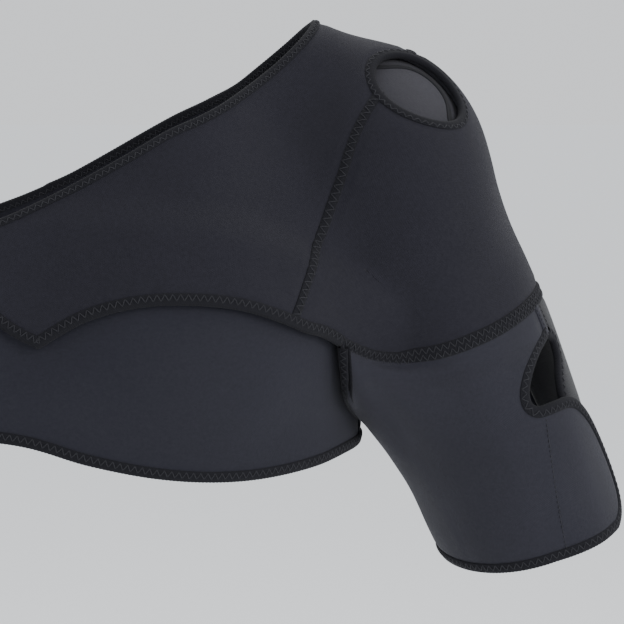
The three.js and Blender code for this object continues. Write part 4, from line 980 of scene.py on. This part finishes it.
def flat_tape(name, edge, half, pitch, node=None):
    """A thin tape over a seam, dimpled along its stitches."""
    u = np.array([-1, -0.88, 0, 0.88, 1, 0.88, 0, -0.88]) * half
    w = np.array([0.95, 1.45, 1.5, 1.45, 0.95, 0.85, 0.85, 0.85])
    w = w[None] + 0.3 * (edge.swell(pitch)[:, None] - 0.5) * (w > 1.2)
    tape = add_mesh(name, *tube(edge.at(np.repeat(u[None], len(w), 0), w), False))
    return dress(tape, tape_knit, "binding", *([node] if node else []))


def shoulder_line(line):
    """A line on the shoulder's layer as an edge."""
    return Edge(line, unit(slope_of(outer_layer, line)))


def arm_line(layer, turn, distance):
    """A line on the sleeve's or the strip's layer, at turns and distances, as an edge."""
    points = sleeve_point(layer, turn, distance)
    return Edge(points, unit(slope_of(layer, points)))


SEAM_PITCH = 4.2
for name, line in (("front", panel_front[::-1]), ("back", panel_back)):
    seam = shoulder_line(line)
    flat_tape(name + "_seam_tape", seam, 2.5, SEAM_PITCH)
    stitches = add_mesh(name + "_seam_stitches", *zigzag(seam, 0, 2.0, 1.6, 4.0, 5.0, SEAM_PITCH))
    dress(stitches, thread_black, "binding")
arm_seam = shoulder_line(shoulder_seam + ARM_LINE * SLEEVE_GAP / 2)
flat_tape("sleeve_seam_tape_knit", arm_seam, 3.7, STITCH_PITCH, "sleeve_seam_tape")
seam_rows = [zigzag(arm_seam, middle, 1.5, 1.6, 1.0, 1.0) for middle in (-1.65, 1.65)]
dress(add_mesh("sleeve_seam_stitches", *join_parts(*seam_rows)), thread_black, "binding")

# The strip's two seams to the sleeve, from the shoulder to the opening and down the back
down = np.linspace(0, 1, 80)
seam_top = along_arm(seam_point(np.array([32.0, BACK_COLUMN])))
near_join = arm_line(arm_layer, 32 - 0.8 * down, seam_top[0] + 2 + (81 - seam_top[0]) * down)
far_reach = seam_top[1] + 2 + (sleeve_hem(BACK_COLUMN) - 4 - seam_top[1]) * down
far_join = arm_line(arm_layer, np.full(80, BACK_COLUMN + 0.1), far_reach)
side_join = np.stack([(chest_grid[0] + back_grid[0])[3:-3] / 2, chest_facings[0][3:-3]])
side_seam = Edge(side_join[0], side_join[1])
for name, seam in (("strip_back", far_join), ("side", side_seam)):
    flat_tape(name + "_seam_tape", seam, 2.2, STITCH_PITCH)
    dress(add_mesh(name + "_seam_stitches", *zigzag(seam, 0, 1.5, 1.6, 1.0, 1.0)), thread_black, "binding")


def dashes(edge, level, pitch=2.6, dash=1.7):
    """A row of straight stitches: short threads that dip into the cloth at both ends."""
    count = int(edge.total / pitch)
    t = np.linspace(0, 1, 6)
    run = (np.arange(count)[:, None] * pitch + 0.5 + t[None] * dash).ravel()
    frames = np.concatenate([edge.points, edge.inward, edge.away], 1)
    frames = rows_at(run, edge.run, frames)
    high = np.tile(level - 0.3 + 0.36 * np.sin(np.pi * t) ** 0.5, count)
    path = frames[:, :3] + frames[:, 6:] * high[:, None]
    rings = thread_rings(path, frames[:, 3:6], frames[:, 6:])
    return join_parts(*(tube(part, False) for part in rings.reshape(count, len(t), -1, 3)))


# Straight stitches: the sleeve lapped over the strip above the opening, and the flap's hook tape inside it
lap = flat_tape("strip_front_lap", near_join, 3.0, STITCH_PITCH)
# The lap takes the sleeve's material, with its painted lighter colour.
lap.data.materials[0] = sleeve_cloth
for name, turns in (("near", (34.2, 30.9)), ("far", (28.4, 26.2))):
    row = arm_line(arm_layer, np.linspace(*turns, 40), np.linspace(seam_top[0] + 3, 81, 40))
    dress(add_mesh("strip_front_stitches_" + name, *dashes(row, 1.62)), thread_black, "binding")
hook_line = arm_line(flap_layer, np.linspace(57, 71, 60), np.linspace(113, 180, 60))
dress(add_mesh("flap_stitches", *dashes(hook_line, 1.5)), thread_black, "binding")

# Under the opening: a smooth lining panel of thin cloth, sewn inside the shoulder panel, with a dark hook
# tape sewn in an arc round its far side
INNER_LEVEL = -0.7


def inner_layer(p):
    """Zero on the middle of the lining panel."""
    return worn(p) - INNER_LEVEL


side = np.linspace(-1, 1, 61)
square_u, square_v = np.meshgrid(side, side, indexing="ij")
oval = opening_long * (1.32 * OPENING_LONG_HALF * square_u * np.sqrt(1 - square_v**2 / 2))[..., None]
oval = oval + opening_short * (1.32 * OPENING_SHORT_HALF * square_v * np.sqrt(1 - square_u**2 / 2))[..., None]
inner_grid = settle(inner_layer, opening_centre + oval)
inner_facings = grid_facings(inner_grid, slope_of(inner_layer, inner_grid))
lining = cloth_material(
    "lining_cloth", (0.0317, 0.0310, 0.0371), (0.0433, 0.0425, 0.0499), 0.85, 0.05, 0.0006
)
dress(cloth_solid("lining_panel", inner_grid, inner_facings, 1.0, 0.0), lining, "lining", "inner_panel")
arc_turn = np.linspace(-1, 1, 90)
arc_reach = 0.79 + 0.36 * np.abs(arc_turn) ** 7
arc_angle = np.radians(84 - 98 * arc_turn)
arc = opening_long * (arc_reach * OPENING_LONG_HALF * np.cos(arc_angle))[:, None]
arc = arc + opening_short * (arc_reach * OPENING_SHORT_HALF * np.sin(arc_angle))[:, None]
arc = settle(inner_layer, opening_centre + arc)
arc_edge = Edge(arc, unit(slope_of(inner_layer, arc)))
arc_u = np.array([-1.55, -1.3, 0, 1.3, 1.55, 1.3, 0, -1.3])
arc_w = np.array([0.5, 0.95, 1.1, 0.95, 0.5, 0.42, 0.42, 0.42])
arc_rows = (len(arc_edge.run), 1)
arc_sections = arc_edge.at(np.tile(arc_u, arc_rows), np.tile(arc_w, arc_rows))
hook_tape = knit_material("hook_tape", (0.0051, 0.0051, 0.0065), (0.0204, 0.0204, 0.0235), 0.8, 700.0)
dress(add_mesh("lining_tape", *tube(arc_sections, False)), hook_tape, "hook", "inner_tape")

# Hook tape sewn between the lapped ends of the sleeve and of the band: its solids keep their own shape and
# only take the material
for node in ("arm_hook_tape", "wrap_hook_tape"):
    piece = frame["nodes"][node]
    piece.data.materials.clear()
    piece.data.materials.append(hook_tape)

# They are as long as worn, where the cloth is stretched a few percent


# Floor, light and camera
FLOOR_HALF, FLOOR_HEIGHT, SKY = 12.0, -0.62, (0.95, 0.97, 1.0, 1)
floor_mesh = bpy.data.meshes.new("floor")
corners = np.array([[-1, -1], [1, -1], [1, 1], [-1, 1]]) * FLOOR_HALF
floor_mesh.from_pydata([(x, y, FLOOR_HEIGHT) for x, y in corners.tolist()], [], [[0, 1, 2, 3]])
floor_mesh.polygons.foreach_set("use_smooth", [True])
floor = bpy.data.objects.new("floor", floor_mesh)
bpy.context.scene.collection.objects.link(floor)
paper = bpy.data.materials.new("paper")
paper.use_nodes = True
for socket, value in (
    ("Base Color", (0.86, 0.87, 0.88, 1)), ("Roughness", 1.0), ("Specular IOR Level", 0.0),
    ("Emission Color", SKY), ("Emission Strength", 0.14),
):
    paper.node_tree.nodes["Principled BSDF"].inputs[socket].default_value = value
floor_mesh.materials.append(paper)

world = bpy.data.worlds.new("studio")
bpy.context.scene.world = world
world.use_nodes = True
world.node_tree.nodes["Background"].inputs["Color"].default_value = SKY
world.node_tree.nodes["Background"].inputs["Strength"].default_value = 1.0


def soft_box(name, place, aim, width, height, watts):
    """A rectangular area light turned to its aim."""
    light = bpy.data.lights.new(name, "AREA")
    light.shape, light.size, light.size_y, light.energy = "RECTANGLE", width, height, watts
    lamp = bpy.data.objects.new(name, light)
    lamp.location = place
    way = np.array(aim) - np.array(place)
    pitch = np.arctan2(np.hypot(way[0], way[1]), -way[2])
    lamp.rotation_euler = (pitch, 0, np.arctan2(way[1], way[0]) - np.pi / 2)
    bpy.context.scene.collection.objects.link(lamp)


soft_box("key", (1.15, -1.4, 0.6), (-0.04, 0, -0.1), 1.0, 1.0, 18)
soft_box("fill", (1.5, -0.3, 0.7), (0, 0, -0.1), 0.8, 1.2, 6)
soft_box("top", (0.0, 0.9, 1.3), (-0.05, 0, 0), 1.2, 1.0, 12)

VIEW_DISTANCE, VIEW_RISE, PICTURE_WIDTH = 1.6, np.radians(6), 0.624 / 2.1
aim = (np.array([139.0, -60.0, -113.0]) - SEAT) / 1000
lens = bpy.data.cameras.new("camera")
lens.sensor_width = 36
lens.lens = 36 * VIEW_DISTANCE / PICTURE_WIDTH
camera = bpy.data.objects.new("camera", lens)
camera.location = aim + VIEW_DISTANCE * np.array([0, -np.cos(VIEW_RISE), np.sin(VIEW_RISE)])
camera.rotation_euler = (np.pi / 2 - VIEW_RISE, 0, 0)
bpy.context.scene.collection.objects.link(camera)
bpy.context.scene.camera = camera
